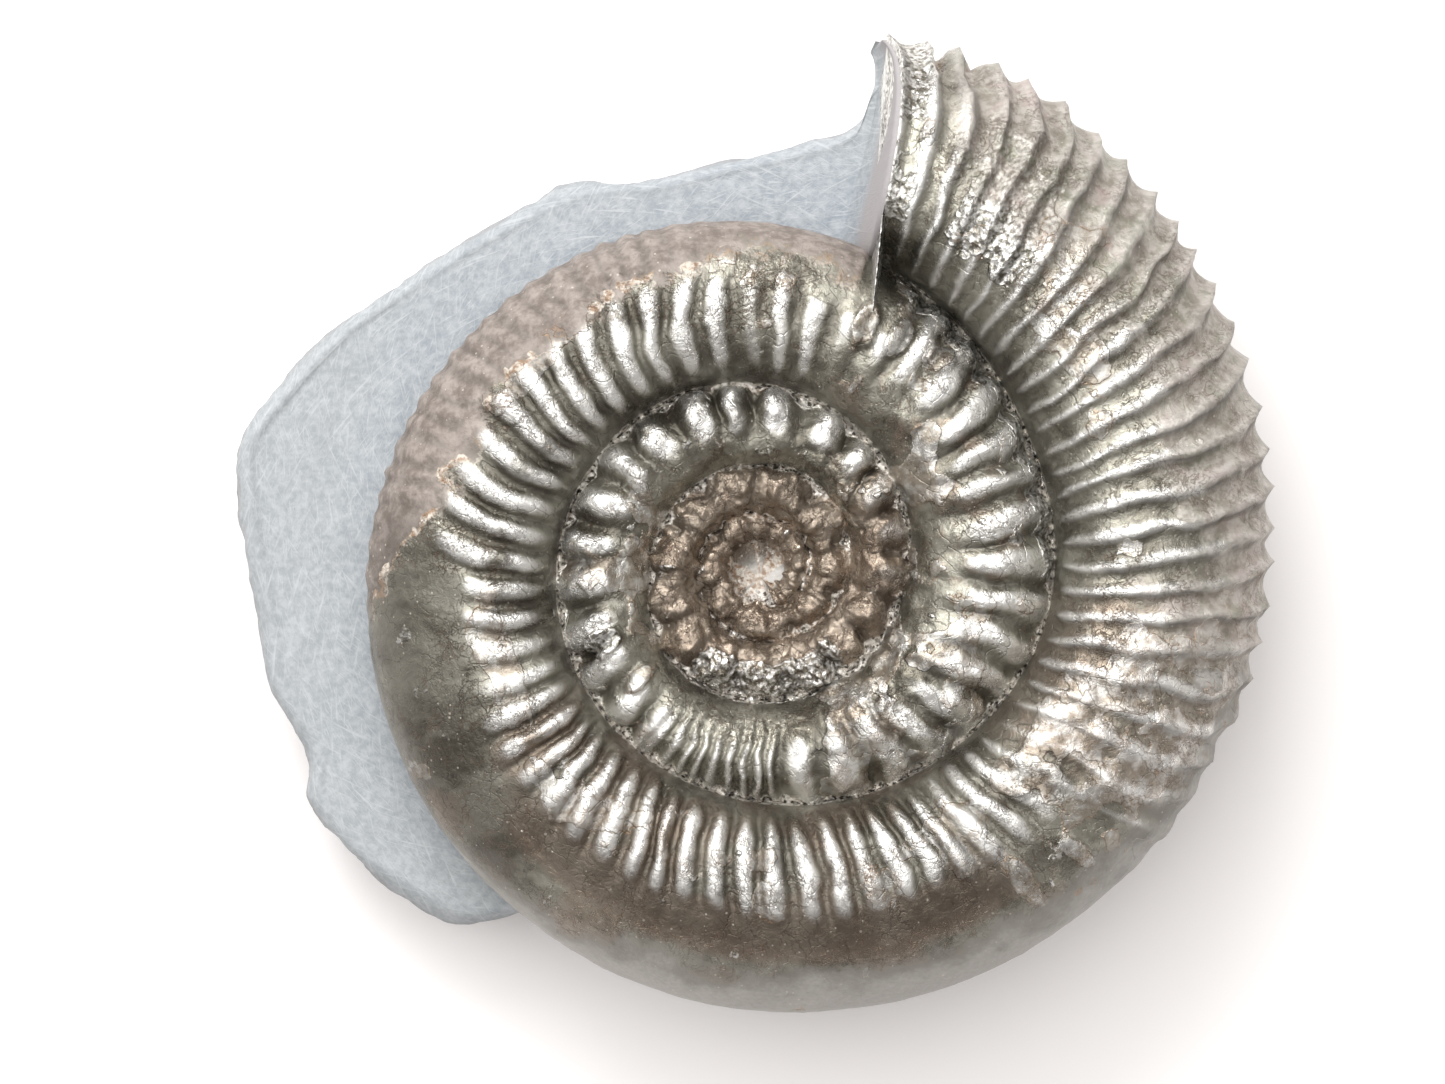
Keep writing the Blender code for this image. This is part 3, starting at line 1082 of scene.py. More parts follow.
@dataclass
class RockSlab:
    """The slab of rock under the coil, with the coil's pocket and the sweep up to its broken end."""

    plan: CoilPlan = field(default_factory=CoilPlan)
    height: float = 10.9
    centre: tuple[float, float] = (-3.0, 4.0)
    spokes: int = 720
    outline: tuple[tuple[float, float], ...] = (
        (10.4, 42.2), (8.3, 38.0), (3.6, 36.3), (-1.8, 35.1), (-9.5, 33.3), (-13.8, 33.1), (-17.3, 32.2),
        (-24.2, 28.6), (-31.0, 24.3), (-37.0, 20.0), (-42.2, 14.4), (-44.5, 11.4), (-45.0, 8.4),
        (-44.5, 3.3), (-42.9, -5.3), (-42.2, -10.5), (-39.6, -14.4), (-38.6, -16.9), (-38.8, -19.9),
        (-35.8, -24.2), (-31.0, -27.9), (-25.9, -30.3), (-21.5, -29.9), (-15.5, -28.2), (-7.8, -32.2),
        (5.9, -34.2), (22.3, -27.9), (34.0, -13.4), (38.2, 6.0), (34.2, 22.6), (24.5, 35.8), (14.5, 42.4),
    )  # fmt: skip
    levels: tuple[tuple[float, float], ...] = (
        (0.00, 0.900), (0.02, 0.922), (0.06, 0.945), (0.14, 0.972), (0.24, 0.992), (0.34, 1.004),
        (0.46, 1.012), (0.58, 1.018), (0.70, 1.020), (0.80, 1.018), (0.87, 1.013), (0.93, 1.004),
        (0.97, 0.993), (0.99, 0.982),
    )  # fmt: skip
    sweep_width: float = 3.6
    sweep_columns: int = 60
    sweep_rows: int = 40
    lip: float = 0.10
    pocket_gap: float = 0.45
    core_depth: float = 3.8
    slab_weld: float = 0.01
    sweep_weld: float = 0.005

    def build(self) -> Piece:
        """Model the rock.

        Returns:
            The finished piece, with no material.
        """
        below = np.linspace(0.0, 0.90, 10)
        above = 1 - np.linspace(0.03, 1.0, 84) ** 0.9
        rims = [(s, 0.0, 0) for s in below[:-1]]
        rims += [(scale, level * self.height, 1) for level, scale in self.levels]
        top_scale = 0.975
        rims += [(top_scale * s / above[0], self.height, 2) for s in above]
        scale, level, kind = (np.array(column) for column in zip(*rims))

        edge = self.rim_points()
        middle = np.array(self.centre)
        flat = middle + scale[:, None, None] * (edge - middle)
        kind = np.repeat(kind, len(edge))
        places = np.column_stack([flat.reshape(-1, 2), np.repeat(level, len(edge))])
        places = self.weathered(places, kind)
        top = kind == 2
        places[top, 2] = self.top_height(places[top])

        piece = Bench.grid("rock_slab", len(scale), len(edge))
        Bench.set_places(piece, places)
        Bench.weld(piece, self.slab_weld)
        Bench.close(piece)
        piece = Bench.join([piece, self.sweep()])
        Bench.finish_smooth(piece)
        return piece

    def rim_points(self) -> Array:
        """Evenly spaced points round the slab's outline, the last on the first.

        Returns:
            X and Y in millimetres, one point a row.
        """
        corners = np.array(self.outline + self.outline[:3])
        along = np.concatenate([[0.0], np.cumsum(np.linalg.norm(np.diff(corners, axis=0), axis=1))])
        first, length = along[1], along[len(self.outline) + 1] - along[1]
        at = first + np.linspace(0.0, length, self.spokes + 1)
        x = curve(tuple(zip(along, corners[:, 0])), at)
        y = curve(tuple(zip(along, corners[:, 1])), at)
        edge = np.stack([x, y], axis=1)
        edge[-1] = edge[0]
        return edge

    def weathered(self, places: Array, kind: Array) -> Array:
        """Roughen the slab's side and rim.

        Args:
            places: its points.
            kind: 0 underside, 1 side, 2 top.

        Returns:
            The moved points.
        """
        middle = np.array([*self.centre, 0.0])
        away = (places - middle) * np.array([1.0, 1.0, 0.0])
        out = away / np.maximum(np.linalg.norm(away, axis=1, keepdims=True), 1e-6)
        chips = 0.45 * GRAIN.fractal(places, 6.0, 21) + 0.22 * GRAIN.fractal(places, 2.2, 22)
        edge, pick = GRAIN.cells(places * np.array([1.0, 1.0, 1.4]), 4.5, 23)
        chips += 0.5 * (pick - 0.6) * ease(edge, 0.0, 0.4)
        side = (kind == 1) * ease(places[:, 2] / self.height, 1.0, 0.78)
        side = side * ease(places[:, 1], 41.0, 35.0)
        return places + out * (chips * side)[:, None]

    def top_height(self, places: Array) -> Array:
        """Height of the slab's top: ground flat and cut by the coil's pocket; the sweep up to its broken
        end is a piece of its own.

        Args:
            places: points on the top.

        Returns:
            Millimetres.
        """
        flat = places.copy()
        flat[:, 2] = 0.0
        waves = 0.22 * GRAIN.fractal(flat, 14.0, 31) + 0.05 * GRAIN.fractal(flat, 2.0, 32)
        return np.minimum(self.height - 0.25 + waves, self.pocket(places))

    def sweep(self) -> Piece:
        """The rock that clings to the coil's broken end and runs down from it to the slab.

        Returns:
            A closed piece, to be joined to the slab.
        """
        plan, lip = self.plan, self.lip
        rim = plan.section(np.array([0.0]), self.sweep_columns, False)
        down = plan.section(np.array([0.0]), 8, True)
        radius = np.append(rim.radius, down.radius[1:])
        angle = np.append(rim.angle, down.angle[1:])
        crest = np.append(rim.height, down.height[1:]) + plan.median_height
        across = np.clip((radius - radius[0]) / (radius.max() - radius[0]), 0.0, 1.0)
        reach = 0.5 + (self.sweep_width - 0.5) * (1 - across) ** 0.8
        buried = 2 * plan.median_height - crest - 1.0
        foot = np.maximum(self.height - 0.6, buried * ease(across, 0.85, 0.92))
        foot = np.minimum(foot, crest - 0.8)
        share = np.linspace(0.0, 1.0, self.sweep_rows + 1)[:, None]
        start = -0.6 * ease(across, 0.02, 0.16)
        ahead = start + (0.35 - start) * np.minimum(share / lip, 1.0)
        ahead = ahead + reach * np.maximum(share - lip, 0.0) / (1 - lip)
        fall = np.clip((share - lip) / (1 - lip), 0.0, 1.0)
        round_off = 0.10 + 0.35 * np.clip(share / lip, 0.0, 1.0) ** 2
        height = foot + (crest - round_off - foot) * (1 - fall) ** 2.6
        turned = angle + ahead / radius
        top = np.stack([radius * np.cos(turned), radius * np.sin(turned), height], axis=-1)
        waves = GRAIN.fractal(top.reshape(-1, 3), 3.0, 35).reshape(height.shape)
        height = height + 0.16 * waves * (fall < 1)
        top[..., 2] = height
        hanging = foot > self.height - 0.4
        sunk = np.where(height < foot + 1.0, foot - 1.5, self.height - 1.8)
        lowest = np.where(hanging, foot - 0.4, sunk)
        base = np.stack([top[..., 0], top[..., 1], np.minimum(lowest, height - 0.5)], axis=-1)[::-1]
        whole = np.concatenate([top, base, top[:1]])
        piece = Bench.grid("rock_sweep", len(whole), whole.shape[1])
        Bench.set_places(piece, whole.reshape(-1, 3))
        Bench.weld(piece, self.sweep_weld)
        Bench.close(piece)
        return piece

    def pocket(self, places: Array) -> Array:
        """Height of the coil's buried flank, less a hair's gap, over each point.

        Args:
            places: points on the top.

        Returns:
            Millimetres; very high where there is no coil.
        """
        plan = self.plan
        radius = np.hypot(places[:, 0], places[:, 1])
        angle = np.arctan2(places[:, 1], places[:, 0])
        start = np.array([0.0])
        inner, outer = curve(plan.seam, start)[0], plan.outer_radius(start)[0]
        across = np.clip((radius - inner) / (outer - inner), 0.0, 1.0)
        turn = ((plan.end_angle + plan.end_lean * across**2 - angle) % (2 * math.pi)) / (2 * math.pi)
        depth = np.zeros(len(places))
        for whole in range(4):
            here = turn + whole
            inside = curve(plan.seam, here)
            outside = plan.outer_radius(here)
            breadth = plan.half_breadth(here)
            start = math.pi - plan.whorl_angle(plan.seam_height(here), breadth)
            reach = np.abs(np.cos(start)) ** plan.power_across
            half_width = (outside - inside) / (1 + reach)
            wide = outside - inside
            moved = np.clip((radius - inside) / wide, 0.0, 1.0)
            shift = np.maximum(plan.shift(here), 1e-6)
            even = (shift - 1 + np.sqrt((1 - shift) ** 2 + 4 * shift * moved)) / (2 * shift)
            x = np.abs(even * wide - half_width * reach) / half_width
            rise = np.clip(1 - x ** (2 / plan.power_across), 0.0, 1.0) ** (plan.power_up / 2)
            covered = (radius > inside - 0.3) & (radius < outside)
            depth = np.maximum(depth, np.where(covered, rise * breadth, 0.0))
        core = radius < curve(plan.seam, np.array([3.0]))[0]
        depth = np.maximum(depth, np.where(core, self.core_depth, 0.0))
        return np.where(depth > 0.0, plan.median_height - depth - self.pocket_gap, FAR)


# ---------------------------------------------------------------- finishes


class Nodes:
    """Builds a node tree: each method adds one node and returns its output socket."""

    def __init__(self, tree: Tree) -> None:
        """Work on one node tree."""
        self.tree = tree

    def link(self, value: object, socket: Socket) -> None:
        """Feed a socket.

        Args:
            value: an output socket, a number or a colour.
            socket: the input that takes it.
        """
        if isinstance(value, Socket):
            self.tree.links.new(value, socket)
        elif isinstance(value, tuple):
            socket.default_value = (*value, 1.0) if len(value) == 3 and socket.type == "RGBA" else value
        else:
            socket.default_value = value

    def painted(self, coat: Coat) -> Socket:
        """A coat's painted weight."""
        node = self.tree.nodes.new("ShaderNodeAttribute")
        node.attribute_name = coat.value
        return node.outputs["Fac"]

    def place(self) -> Socket:
        """Object coordinates."""
        return self.tree.nodes.new("ShaderNodeTexCoord").outputs["Object"]

    def math(self, step: str, a: object, b: object = 0.0, c: object = 0.0) -> Socket:
        """One sum.

        Args:
            step: the Math node's operation.
            a: its first value.
            b: its second value.
            c: its third value.

        Returns:
            The result.
        """
        node = self.tree.nodes.new("ShaderNodeMath")
        node.operation = step
        for value, socket in zip((a, b, c), node.inputs):
            self.link(value, socket)
        return node.outputs[0]

    def times(self, a: object, b: object) -> Socket:
        """One number times another."""
        return self.math("MULTIPLY", a, b)

    def times_plus(self, a: object, b: object, c: object) -> Socket:
        """One number times another, and a third added."""
        return self.math("MULTIPLY_ADD", a, b, c)

    def larger(self, a: object, b: object) -> Socket:
        """The larger of two numbers."""
        return self.math("MAXIMUM", a, b)

    def close_to(self, value: object, middle: float, far: float, near: float) -> Socket:
        """Where a value lies close to a middle one.

        Args:
            value: what is compared.
            middle: the middle one.
            far: the gap between them at which the result is 0.
            near: the gap at which it is 1.

        Returns:
            0 to 1.
        """
        gap = self.math("ABSOLUTE", self.math("SUBTRACT", value, middle))
        return self.step(gap, far, near)

    def step(
        self, value: object, low: float, high: float, to_low: float = 0.0, to_high: float = 1.0
    ) -> Socket:
        """A smooth step.

        Args:
            value: what is compared.
            low: where the step starts.
            high: where it ends.
            to_low: what it gives before.
            to_high: what it gives after.

        Returns:
            The step's value.
        """
        node = self.tree.nodes.new("ShaderNodeMapRange")
        node.interpolation_type = "SMOOTHSTEP"
        names = ("Value", "From Min", "From Max", "To Min", "To Max")
        for name, number in zip(names, (value, low, high, to_low, to_high)):
            self.link(number, node.inputs[name])
        return node.outputs["Result"]

    def mix(self, share: object, a: object, b: object, blend: str = "MIX") -> Socket:
        """Mix two colours.

        Args:
            share: how much of the second.
            a: the first colour.
            b: the second colour.
            blend: the way they mix.

        Returns:
            The mixed colour.
        """
        node = self.tree.nodes.new("ShaderNodeMix")
        node.data_type = "RGBA"
        node.blend_type = blend
        self.link(share, node.inputs[0])
        self.link(a, node.inputs[6])
        self.link(b, node.inputs[7])
        return node.outputs[2]

    def layers(self, colour: object, coats: tuple[tuple[object, float, object], ...]) -> Socket:
        """Lay colours over each other.

        Args:
            colour: the lowest colour.
            coats: for each colour on top, in order, where it lies, how much of it shows there, and itself.

        Returns:
            The mixed colour.
        """
        for share, most, coat in coats:
            colour = self.mix(self.times(share, most), colour, coat)
        return colour

    def noise(
        self, where: object, size: float, detail: float = 3.0, rough: float = 0.55, bend: float = 0.0
    ) -> Socket:
        """Cloudy noise.

        Args:
            where: coordinates.
            size: the size of its largest blobs, in millimetres.
            detail: how many finer sizes it has.
            rough: how strong those are.
            bend: how much it is distorted.

        Returns:
            About 0.3 to 0.7.
        """
        node = self.tree.nodes.new("ShaderNodeTexNoise")
        self.link(where, node.inputs["Vector"])
        names = ("Scale", "Detail", "Roughness", "Distortion")
        for name, value in zip(names, (1 / (size * MM), detail, rough, bend)):
            node.inputs[name].default_value = value
        return node.outputs["Fac"]

    def cells(self, where: object, size: float, feature: str = "F1") -> Socket:
        """Cellular pattern.

        Args:
            where: coordinates.
            size: a cell's size, in millimetres.
            feature: the Voronoi node's feature.

        Returns:
            A distance, 0 to about 1.
        """
        node = self.tree.nodes.new("ShaderNodeTexVoronoi")
        node.feature = feature
        self.link(where, node.inputs["Vector"])
        node.inputs["Scale"].default_value = 1 / (size * MM)
        return node.outputs["Distance"]

    def bumps(self, reliefs: tuple[tuple[object, float, float], ...]) -> Socket:
        """Turn heights into one normal.

        Args:
            reliefs: for each one, its height from 0 to 1, how strongly it shows, and what a height of 1
                is in millimetres.

        Returns:
            The normal.
        """
        normal = None
        for height, strength, depth in reliefs:
            node = self.tree.nodes.new("ShaderNodeBump")
            node.inputs["Strength"].default_value = strength
            node.inputs["Distance"].default_value = depth * MM
            self.link(height, node.inputs["Height"])
            if normal is not None:
                self.link(normal, node.inputs["Normal"])
            normal = node.outputs["Normal"]
        return normal

    def group(self, tree: Tree, **values: object) -> bpy.types.Node:
        """Place a node group.

        Args:
            tree: the group.
            values: what feeds its inputs, by name, with _ for a space.

        Returns:
            The group's node.
        """
        node = self.tree.nodes.new("ShaderNodeGroup")
        node.node_tree = tree
        for name, value in values.items():
            self.link(value, node.inputs[name.replace("_", " ")])
        return node


def new_material(name: str) -> tuple[bpy.types.Material, Nodes, bpy.types.Node]:
    """Start a material.

    Args:
        name: its name.

    Returns:
        The material, its builder and its shader.
    """
    material = bpy.data.materials.new(name)
    material.use_nodes = True
    return material, Nodes(material.node_tree), material.node_tree.nodes["Principled BSDF"]


def new_group(
    name: str, inputs: dict[str, float | None], outputs: tuple[str, ...]
) -> tuple[Nodes, bpy.types.Node, bpy.types.Node]:
    """Start a shader node group.

    Args:
        name: its name.
        inputs: each number input's name and value; None for a vector.
        outputs: the names of its number outputs.

    Returns:
        Its builder, its input node and its output node.
    """
    tree = bpy.data.node_groups.new(name, "ShaderNodeTree")
    for label, value in inputs.items():
        kind = "NodeSocketVector" if value is None else "NodeSocketFloat"
        socket = tree.interface.new_socket(label, in_out="INPUT", socket_type=kind)
        if value is not None:
            socket.default_value = value
    for label in outputs:
        tree.interface.new_socket(label, in_out="OUTPUT", socket_type="NodeSocketFloat")
    return Nodes(tree), tree.nodes.new("NodeGroupInput"), tree.nodes.new("NodeGroupOutput")


def speckle_group() -> Tree:
    """Fine grains and pits that both the fossil and the rock have.

    Returns:
        A group from a place to a grain height and a mask of scattered specks.
    """
    nodes, given, made = new_group("fine grain", {"Place": None, "Amount": 1.0}, ("Height", "Specks"))
    place = given.outputs["Place"]
    fine = nodes.noise(place, 0.35, 4.0, 0.65)
    grit = nodes.cells(place, 0.45)
    height = nodes.times(nodes.times_plus(grit, 0.25, fine), given.outputs["Amount"])
    dots = nodes.times_plus(nodes.noise(place, 4.0, 2.0), 0.35, nodes.cells(place, 0.85))
    nodes.link(height, made.inputs["Height"])
    nodes.link(nodes.step(dots, 0.30, 0.22), made.inputs["Specks"])
    return nodes.tree


def fracture_group() -> Tree:
    """Fine cracks between plates.

    Returns:
        A group from a place and a line width to a mask of crack lines.
    """
    nodes, given, made = new_group("fractures", {"Place": None, "Width": 0.05}, ("Cracks",))
    warp = nodes.noise(given.outputs["Place"], 1.6, 3.0)
    node = nodes.tree.nodes.new("ShaderNodeVectorMath")
    node.operation = "MULTIPLY_ADD"
    nodes.link(warp, node.inputs[0])
    node.inputs[1].default_value = (0.0022, -0.0019, 0.0016)
    nodes.link(given.outputs["Place"], node.inputs[2])
    edges = nodes.cells(node.outputs[0], 1.5, "DISTANCE_TO_EDGE")
    line = nodes.math("DIVIDE", edges, given.outputs["Width"])
    gone = nodes.step(nodes.noise(given.outputs["Place"], 3.0, 2.0), 0.46, 0.56)
    nodes.link(nodes.times(nodes.step(line, 1.0, 0.2), gone), made.inputs["Cracks"])
    return nodes.tree


def curl_group() -> Tree:
    """Thin curly lines, the outlines of worn flakes.

    Returns:
        A group from a place to a mask of lines.
    """
    nodes, given, made = new_group("curly lines", {"Place": None, "Width": 0.018}, ("Lines",))
    place, width = given.outputs["Place"], given.outputs["Width"]
    level = nodes.noise(place, 2.2, 4.0, 0.62, 1.2)
    gap = nodes.math("DIVIDE", nodes.math("ABSOLUTE", nodes.math("SUBTRACT", level, 0.53)), width)
    other = nodes.noise(place, 1.1, 3.0, 0.6, 1.8)
    gap_two = nodes.math("DIVIDE", nodes.math("ABSOLUTE", nodes.math("SUBTRACT", other, 0.55)), width)
    line = nodes.step(nodes.math("MINIMUM", gap, gap_two), 1.0, 0.2)
    some = nodes.step(nodes.noise(place, 5.0, 2.0), 0.44, 0.58)
    nodes.link(nodes.times(line, some), made.inputs["Lines"])
    return nodes.tree


@dataclass(frozen=True)
class MineralShell:
    """The fossil's finish: dark metallic mineral, with films, crusts and flakes over it, painted highlight
    on the rib crests and painted shade in the troughs.
    """

    grain: Tree
    fractures: Tree
    curls: Tree
    deep: Colour = (0.150, 0.138, 0.110)
    olive: Colour = (0.400, 0.385, 0.325)
    bronze: Colour = (0.430, 0.355, 0.285)
    # Silver of shell flakes, crystals and seam granules, and the painted highlight on the rib crests.
    silver_and_highlight: Colour = (0.96, 0.95, 0.92)
    film: Colour = (0.262, 0.248, 0.222)
    film_pale: Colour = (0.50, 0.48, 0.45)
    beige: Colour = (0.255, 0.225, 0.185)
    beige_pale: Colour = (0.50, 0.465, 0.420)
    moss: Colour = (0.250, 0.245, 0.185)
    blush: Colour = (0.400, 0.325, 0.300)
    brown: Colour = (0.178, 0.146, 0.124)
    brown_pale: Colour = (0.355, 0.308, 0.276)
    umber: Colour = (0.150, 0.092, 0.060)
    rust: Colour = (0.42, 0.27, 0.165)
    bone: Colour = (0.68, 0.62, 0.54)
    # Near black: painted shade in the rib troughs, and the colour of cracks and of gaps among the seam
    # granules.
    shade_and_crack: Colour = (0.040, 0.035, 0.027)
    edges: tuple[tuple[Coat, float, float], ...] = (
        (Coat.FILM, 0.50, 0.42),
        (Coat.BEIGE, 0.50, 0.38),
        (Coat.BROWN, 0.50, 0.22),
        (Coat.CRUST, 0.42, 0.12),
        (Coat.SHELL, 0.52, 0.04),
        (Coat.CRYSTAL, 0.50, 0.15),
        (Coat.UMBER, 0.45, 0.25),
        (Coat.SEAM, 0.42, 0.20),
    )

    def make(self) -> bpy.types.Material:
        """Build the material.

        Returns:
            The material.
        """
        material, nodes, shader = new_material("mineral shell")
        place = nodes.place()
        slow = nodes.noise(place, 6.0, 4.0, 0.6, 0.3)
        mid = nodes.noise(place, 1.6, 4.0, 0.62, 0.2)
        quick = nodes.noise(place, 0.5, 3.0, 0.6)
        grain = nodes.group(self.grain, Place=place)
        ragged = nodes.times_plus(mid, 0.9, nodes.times_plus(quick, 0.4, -0.65))

        def uneven(coat: Coat, amount: float = 0.8) -> Socket:
            """A coat's painted weight, made ragged."""
            return nodes.times_plus(ragged, amount, nodes.painted(coat))

        film, beige, brown, crust, shell, crystal, umber, seam = (
            nodes.step(uneven(coat), middle - soft, middle + soft) for coat, middle, soft in self.edges
        )
        # Painted shade in the rib troughs and beside the seams, darker at a few listed areas; it also
        # roughens the surface.
        trough = nodes.painted(Coat.TROUGH)
        dull = nodes.larger(film, brown)
        matt = nodes.larger(dull, nodes.larger(nodes.times(beige, 0.55), nodes.times(crust, 0.8)))
        curls = nodes.group(self.curls, Place=place).outputs["Lines"]
        curls = nodes.times(curls, nodes.step(dull, 0.95, 0.55))
        cracks = nodes.group(self.fractures, Place=place).outputs["Cracks"]
        cracks = nodes.times(cracks, nodes.step(matt, 0.6, 0.2))

        # Painted highlight: silver on the rib crests where the crest weight is high, partly crest wear.
        crest_wear_and_highlight = nodes.times(nodes.step(nodes.painted(Coat.CREST), 0.20, 0.68), nodes.step(slow, 0.25, 0.50))
        shine = nodes.mix(nodes.step(mid, 0.40, 0.62), self.bronze, self.silver_and_highlight)
        glint = nodes.mix(nodes.step(quick, 0.40, 0.60), self.deep, self.silver_and_highlight)
        patchy = nodes.times_plus(quick, 0.5, mid)
        browned = nodes.mix(nodes.step(patchy, 0.55, 0.95), self.brown, self.brown_pale)
        tanned = nodes.mix(nodes.step(slow, 0.42, 0.56), self.moss, self.blush)
        tanned = nodes.mix(nodes.step(nodes.noise(place, 3.0, 3.0), 0.42, 0.58), tanned, self.beige)
        tanned = nodes.mix(nodes.step(patchy, 0.60, 0.95), tanned, self.beige_pale)
        thick = nodes.times_plus(slow, 0.5, nodes.times_plus(quick, 0.4, nodes.painted(Coat.FILM)))
        filmed = nodes.mix(nodes.step(thick, 1.15, 1.72), self.film, self.film_pale)
        shell_rim = nodes.close_to(uneven(Coat.SHELL), 0.50, 0.06, 0.015)
        brown_rim = nodes.close_to(uneven(Coat.BROWN, 0.9), 0.48, 0.07, 0.02)
        rims = nodes.larger(nodes.times(shell_rim, 0.55), nodes.times(brown_rim, 0.45))
        rims = nodes.times(rims, nodes.step(slow, 0.40, 0.58))
        rusty = nodes.mix(nodes.step(mid, 0.42, 0.62), self.rust, self.bone)
        crusted = nodes.mix(mid, self.umber, self.rust)
        crusted = nodes.mix(nodes.step(quick, 0.38, 0.62), crusted, self.bone)
        grit = nodes.step(nodes.noise(place, 0.42, 2.0, 0.6), 0.38, 0.52)
        granules = nodes.mix(grit, self.shade_and_crack, nodes.mix(quick, self.bone, self.silver_and_highlight))
        coats = (
            (umber, 0.75, nodes.mix(mid, self.umber, self.bronze)),
            (crest_wear_and_highlight, 0.80, self.silver_and_highlight),
            (shell, 0.50, shine),
            (crystal, 0.70, glint),
            (brown, 1.00, browned),
            (beige, 0.82, tanned),
            (film, 1.00, filmed),
            (trough, 0.78, self.shade_and_crack),
            (rims, 1.00, rusty),
            (crust, 0.85, crusted),
            (seam, 0.85, granules),
            (cracks, 0.35, self.shade_and_crack),
            (curls, 0.45, self.umber),
            (grain.outputs["Specks"], 0.55, self.bone),
        )
        bare = nodes.mix(nodes.step(slow, 0.36, 0.64), self.deep, self.olive)

        rough = nodes.step(nodes.times_plus(quick, 0.5, slow), 0.55, 0.95, 0.16, 0.38)
        rough = nodes.times_plus(trough, 0.25, nodes.times_plus(matt, 0.30, rough))
        metal = nodes.times_plus(matt, -0.65, 0.82)
        nodes.link(nodes.layers(bare, coats), shader.inputs["Base Color"])
        nodes.link(nodes.math("MINIMUM", rough, 0.9), shader.inputs["Roughness"])
        nodes.link(nodes.larger(metal, 0.0), shader.inputs["Metallic"])
        shader.inputs["Specular IOR Level"].default_value = 0.55

        edges = nodes.times_plus(curls, -0.7, nodes.times_plus(cracks, -0.35, shell))
        facets = nodes.times(nodes.cells(place, 0.55), nodes.larger(crystal, seam))
        reliefs = (
            (nodes.noise(place, 0.9, 5.0, 0.66, 0.8), 0.6, 0.24),
            (grain.outputs["Height"], 0.5, 0.05),
            (edges, 0.9, 0.10),
            (facets, 0.8, 0.22),
        )
        nodes.link(nodes.bumps(reliefs), shader.inputs["Normal"])
        return material


@dataclass(frozen=True)
class GroundRock:
    """The rock's finish: chalky blue-grey mudstone, ground flat, with fine tool scratches, painted shade
    beside the coil and low on its sides.
    """

    grain: Tree
    blue: Colour = (0.282, 0.315, 0.348)
    grey: Colour = (0.322, 0.345, 0.358)
    chalk: Colour = (0.56, 0.58, 0.595)
    lilac: Colour = (0.375, 0.355, 0.36)
    # Grey for the painted shade low on the slab and for its dark specks.
    shade_and_speck: Colour = (0.28, 0.275, 0.28)

    def make(self) -> bpy.types.Material:
        """Build the material.

        Returns:
            The material.
        """
        material, nodes, shader = new_material("ground mudstone")
        place = nodes.place()
        slow = nodes.noise(place, 16.0, 3.0, 0.5)
        mid = nodes.noise(place, 2.6, 5.0, 0.6)
        grain = nodes.group(self.grain, Place=place)
        split = nodes.tree.nodes.new("ShaderNodeSeparateXYZ")
        nodes.link(place, split.inputs[0])
        x, y, z = split.outputs
        radius = nodes.math("SQRT", nodes.math("ADD", nodes.times(x, x), nodes.times(y, y)))
        angle = nodes.math("ARCTAN2", nodes.times(y, -1.0), nodes.times(x, -1.0))
        scratches = self.scratches(nodes, radius, angle)
        # Darker and bluer near the coil, partly the rock's own tone and partly painted shade and reflection
        # beside the coil; paler grey further out.
        away_from_coil_shade = nodes.step(nodes.times_plus(slow, 0.012, radius), 0.036, 0.048)
        dusty = nodes.times_plus(nodes.noise(place, 0.7, 5.0, 0.7), 1.2, nodes.times(mid, 0.5))
        coats = (
            (nodes.step(dusty, 0.62, 1.15, 0.0, 0.55), 1.00, self.chalk),
            (scratches, 0.50, self.chalk),
            (nodes.step(z, 0.0130, 0.0175), 1.00, self.lilac),
            # Painted shade: darker below the slab's top, on its sides and deep in the pocket.
            (nodes.step(z, 0.0102, 0.0080), 0.55, self.shade_and_speck),
            (grain.outputs["Specks"], 0.25, self.shade_and_speck),
        )
        colour = nodes.layers(nodes.mix(away_from_coil_shade, self.blue, self.grey), coats)
        nodes.link(colour, shader.inputs["Base Color"])
        nodes.link(nodes.step(mid, 0.3, 0.7, 0.78, 0.92), shader.inputs["Roughness"])
        shader.inputs["Specular IOR Level"].default_value = 0.3
        reliefs = ((mid, 0.35, 0.25), (scratches, 0.35, 0.05), (grain.outputs["Height"], 0.5, 0.06))
        nodes.link(nodes.bumps(reliefs), shader.inputs["Normal"])
        return material

    def scratches(self, nodes: Nodes, radius: object, angle: object) -> Socket:
        """Fine scratches that run round the coil, in two slightly crossing sets.

        Args:
            nodes: the material's builder.
            radius: distance from the coil's axis.
            angle: angle round it.

        Returns:
            A mask of scratch lines.
        """
        total = None
        for slant, width in ((0.0, 0.14), (0.010, 0.20), (-0.014, 0.30), (0.030, 0.26)):
            join = nodes.tree.nodes.new("ShaderNodeCombineXYZ")
            nodes.link(nodes.times_plus(angle, slant, radius), join.inputs[0])
            nodes.link(nodes.times(angle, 0.0024), join.inputs[1])
            line = nodes.step(nodes.noise(join.outputs[0], width, 2.0, 0.6), 0.55, 0.72)
            total = line if total is None else nodes.larger(total, line)
        return total


# ---------------------------------------------------------------- the studio


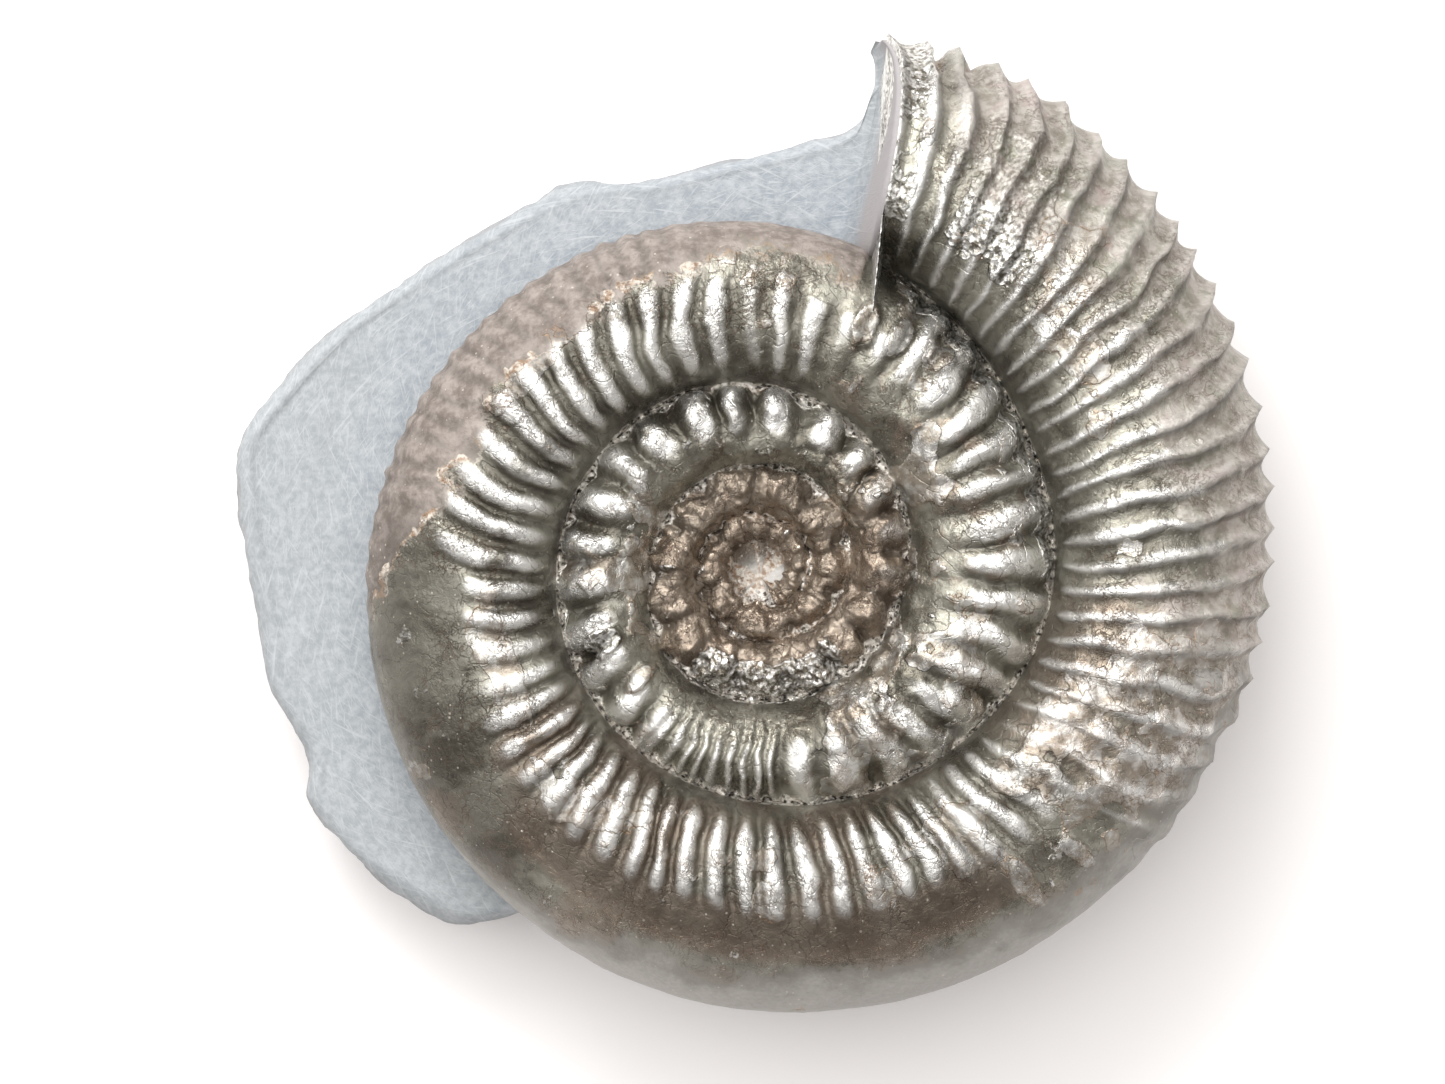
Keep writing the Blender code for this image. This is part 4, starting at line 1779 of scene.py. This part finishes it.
@dataclass(frozen=True)
class Softbox:
    """An area light that looks at the fossil."""

    name: str
    place: tuple[float, float, float]
    size: tuple[float, float]
    watts: float

    def put(self, target: tuple[float, float, float]) -> None:
        """Add the light.

        Args:
            target: the point that it faces, in millimetres.
        """
        data = bpy.data.lights.new(self.name, "AREA")
        data.shape = "RECTANGLE"
        data.size, data.size_y = (side * MM for side in self.size)
        data.energy = self.watts
        light = bpy.data.objects.new(self.name, data)
        bpy.context.scene.collection.objects.link(light)
        from_target = np.array(self.place) - np.array(target)
        light.location = tuple(np.array(self.place) * MM)
        light.rotation_euler = look_at(from_target)


def look_at(back: Array) -> tuple[float, float, float]:
    """Euler angles for a light that looks along -Z.

    Args:
        back: the direction from its target to it.

    Returns:
        Radians about X, Y and Z.
    """
    tilt = math.atan2(math.hypot(back[0], back[1]), back[2])
    turn = math.atan2(back[1], back[0]) + math.pi / 2
    return (tilt, 0.0, turn)


@dataclass
class Studio:
    """A pale floor, soft lights and the camera straight above."""

    view_centre: tuple[float, float] = (-3.3, 2.2)
    view_width: float = 123.6
    view_level: float = 15.0
    camera_above: float = 330.0
    floor_half: float = 1500.0
    floor_drop: float = 0.1
    floor_colour: Colour = (0.97, 0.945, 0.935)
    room_colour: Colour = (1.0, 0.965, 0.945)
    room_strength: float = 0.41
    sensor_width: float = 36.0
    nearest: float = 0.01
    lights: tuple[Softbox, ...] = (
        Softbox("window", (-130.0, 400.0, 400.0), (300.0, 200.0), 1.5),
        Softbox("overhead", (-150.0, 250.0, 600.0), (1050.0, 1050.0), 7.0),
    )

    def build(self) -> None:
        """Set up the floor, the lights, the world and the camera."""
        self.floor()
        for light in self.lights:
            light.put((*self.view_centre, self.view_level))
        self.world()
        self.camera()

    def floor(self) -> None:
        """A plain pale floor."""
        Bench.clear_selection()
        under = (0.0, 0.0, -self.floor_drop * MM)
        bpy.ops.mesh.primitive_plane_add(size=2 * self.floor_half * MM, location=under)
        floor = bpy.context.active_object
        floor.name = "floor"
        material, _, shader = new_material("pale floor")
        shader.inputs["Base Color"].default_value = (*self.floor_colour, 1.0)
        shader.inputs["Roughness"].default_value = 0.9
        shader.inputs["Specular IOR Level"].default_value = 0.1
        floor.data.materials.append(material)

    def world(self) -> None:
        """Soft light from all round."""
        world = bpy.data.worlds.new("soft room")
        world.use_nodes = True
        background = world.node_tree.nodes["Background"]
        background.inputs["Color"].default_value = (*self.room_colour, 1.0)
        background.inputs["Strength"].default_value = self.room_strength
        bpy.context.scene.world = world
        bpy.context.scene.view_settings.view_transform = "Standard"

    def camera(self) -> None:
        """The camera, looking straight down, with +Y up."""
        data = bpy.data.cameras.new("camera")
        data.sensor_width = self.sensor_width
        data.lens = data.sensor_width * self.camera_above / self.view_width
        data.clip_start = self.nearest
        camera = bpy.data.objects.new("camera", data)
        place = (*self.view_centre, self.view_level + self.camera_above)
        camera.location = tuple(side * MM for side in place)
        bpy.context.scene.collection.objects.link(camera)
        bpy.context.scene.camera = camera


def main() -> None:
    """Build the pieces, dress them and light them."""
    logging.basicConfig(level=logging.INFO, format="%(name)s: %(message)s")
    Studio().build()
    grain = speckle_group()
    finishes = {
        "fossil": MineralShell(grain, fracture_group(), curl_group()).make(),
        "rock": GroundRock(grain).make(),
    }
    for maker, slot, node in ((Ammonite(), "fossil", "ammonite"), (RockSlab(), "rock", "rock_matrix")):
        piece = maker.build()
        piece.data.materials.clear()
        piece.data.materials.append(finishes[slot])
        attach(piece, "root")
        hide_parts(node)
        log.info("%s: %d triangles", piece.name, Bench.triangles(piece))


if __name__ == "__main__":
    main()
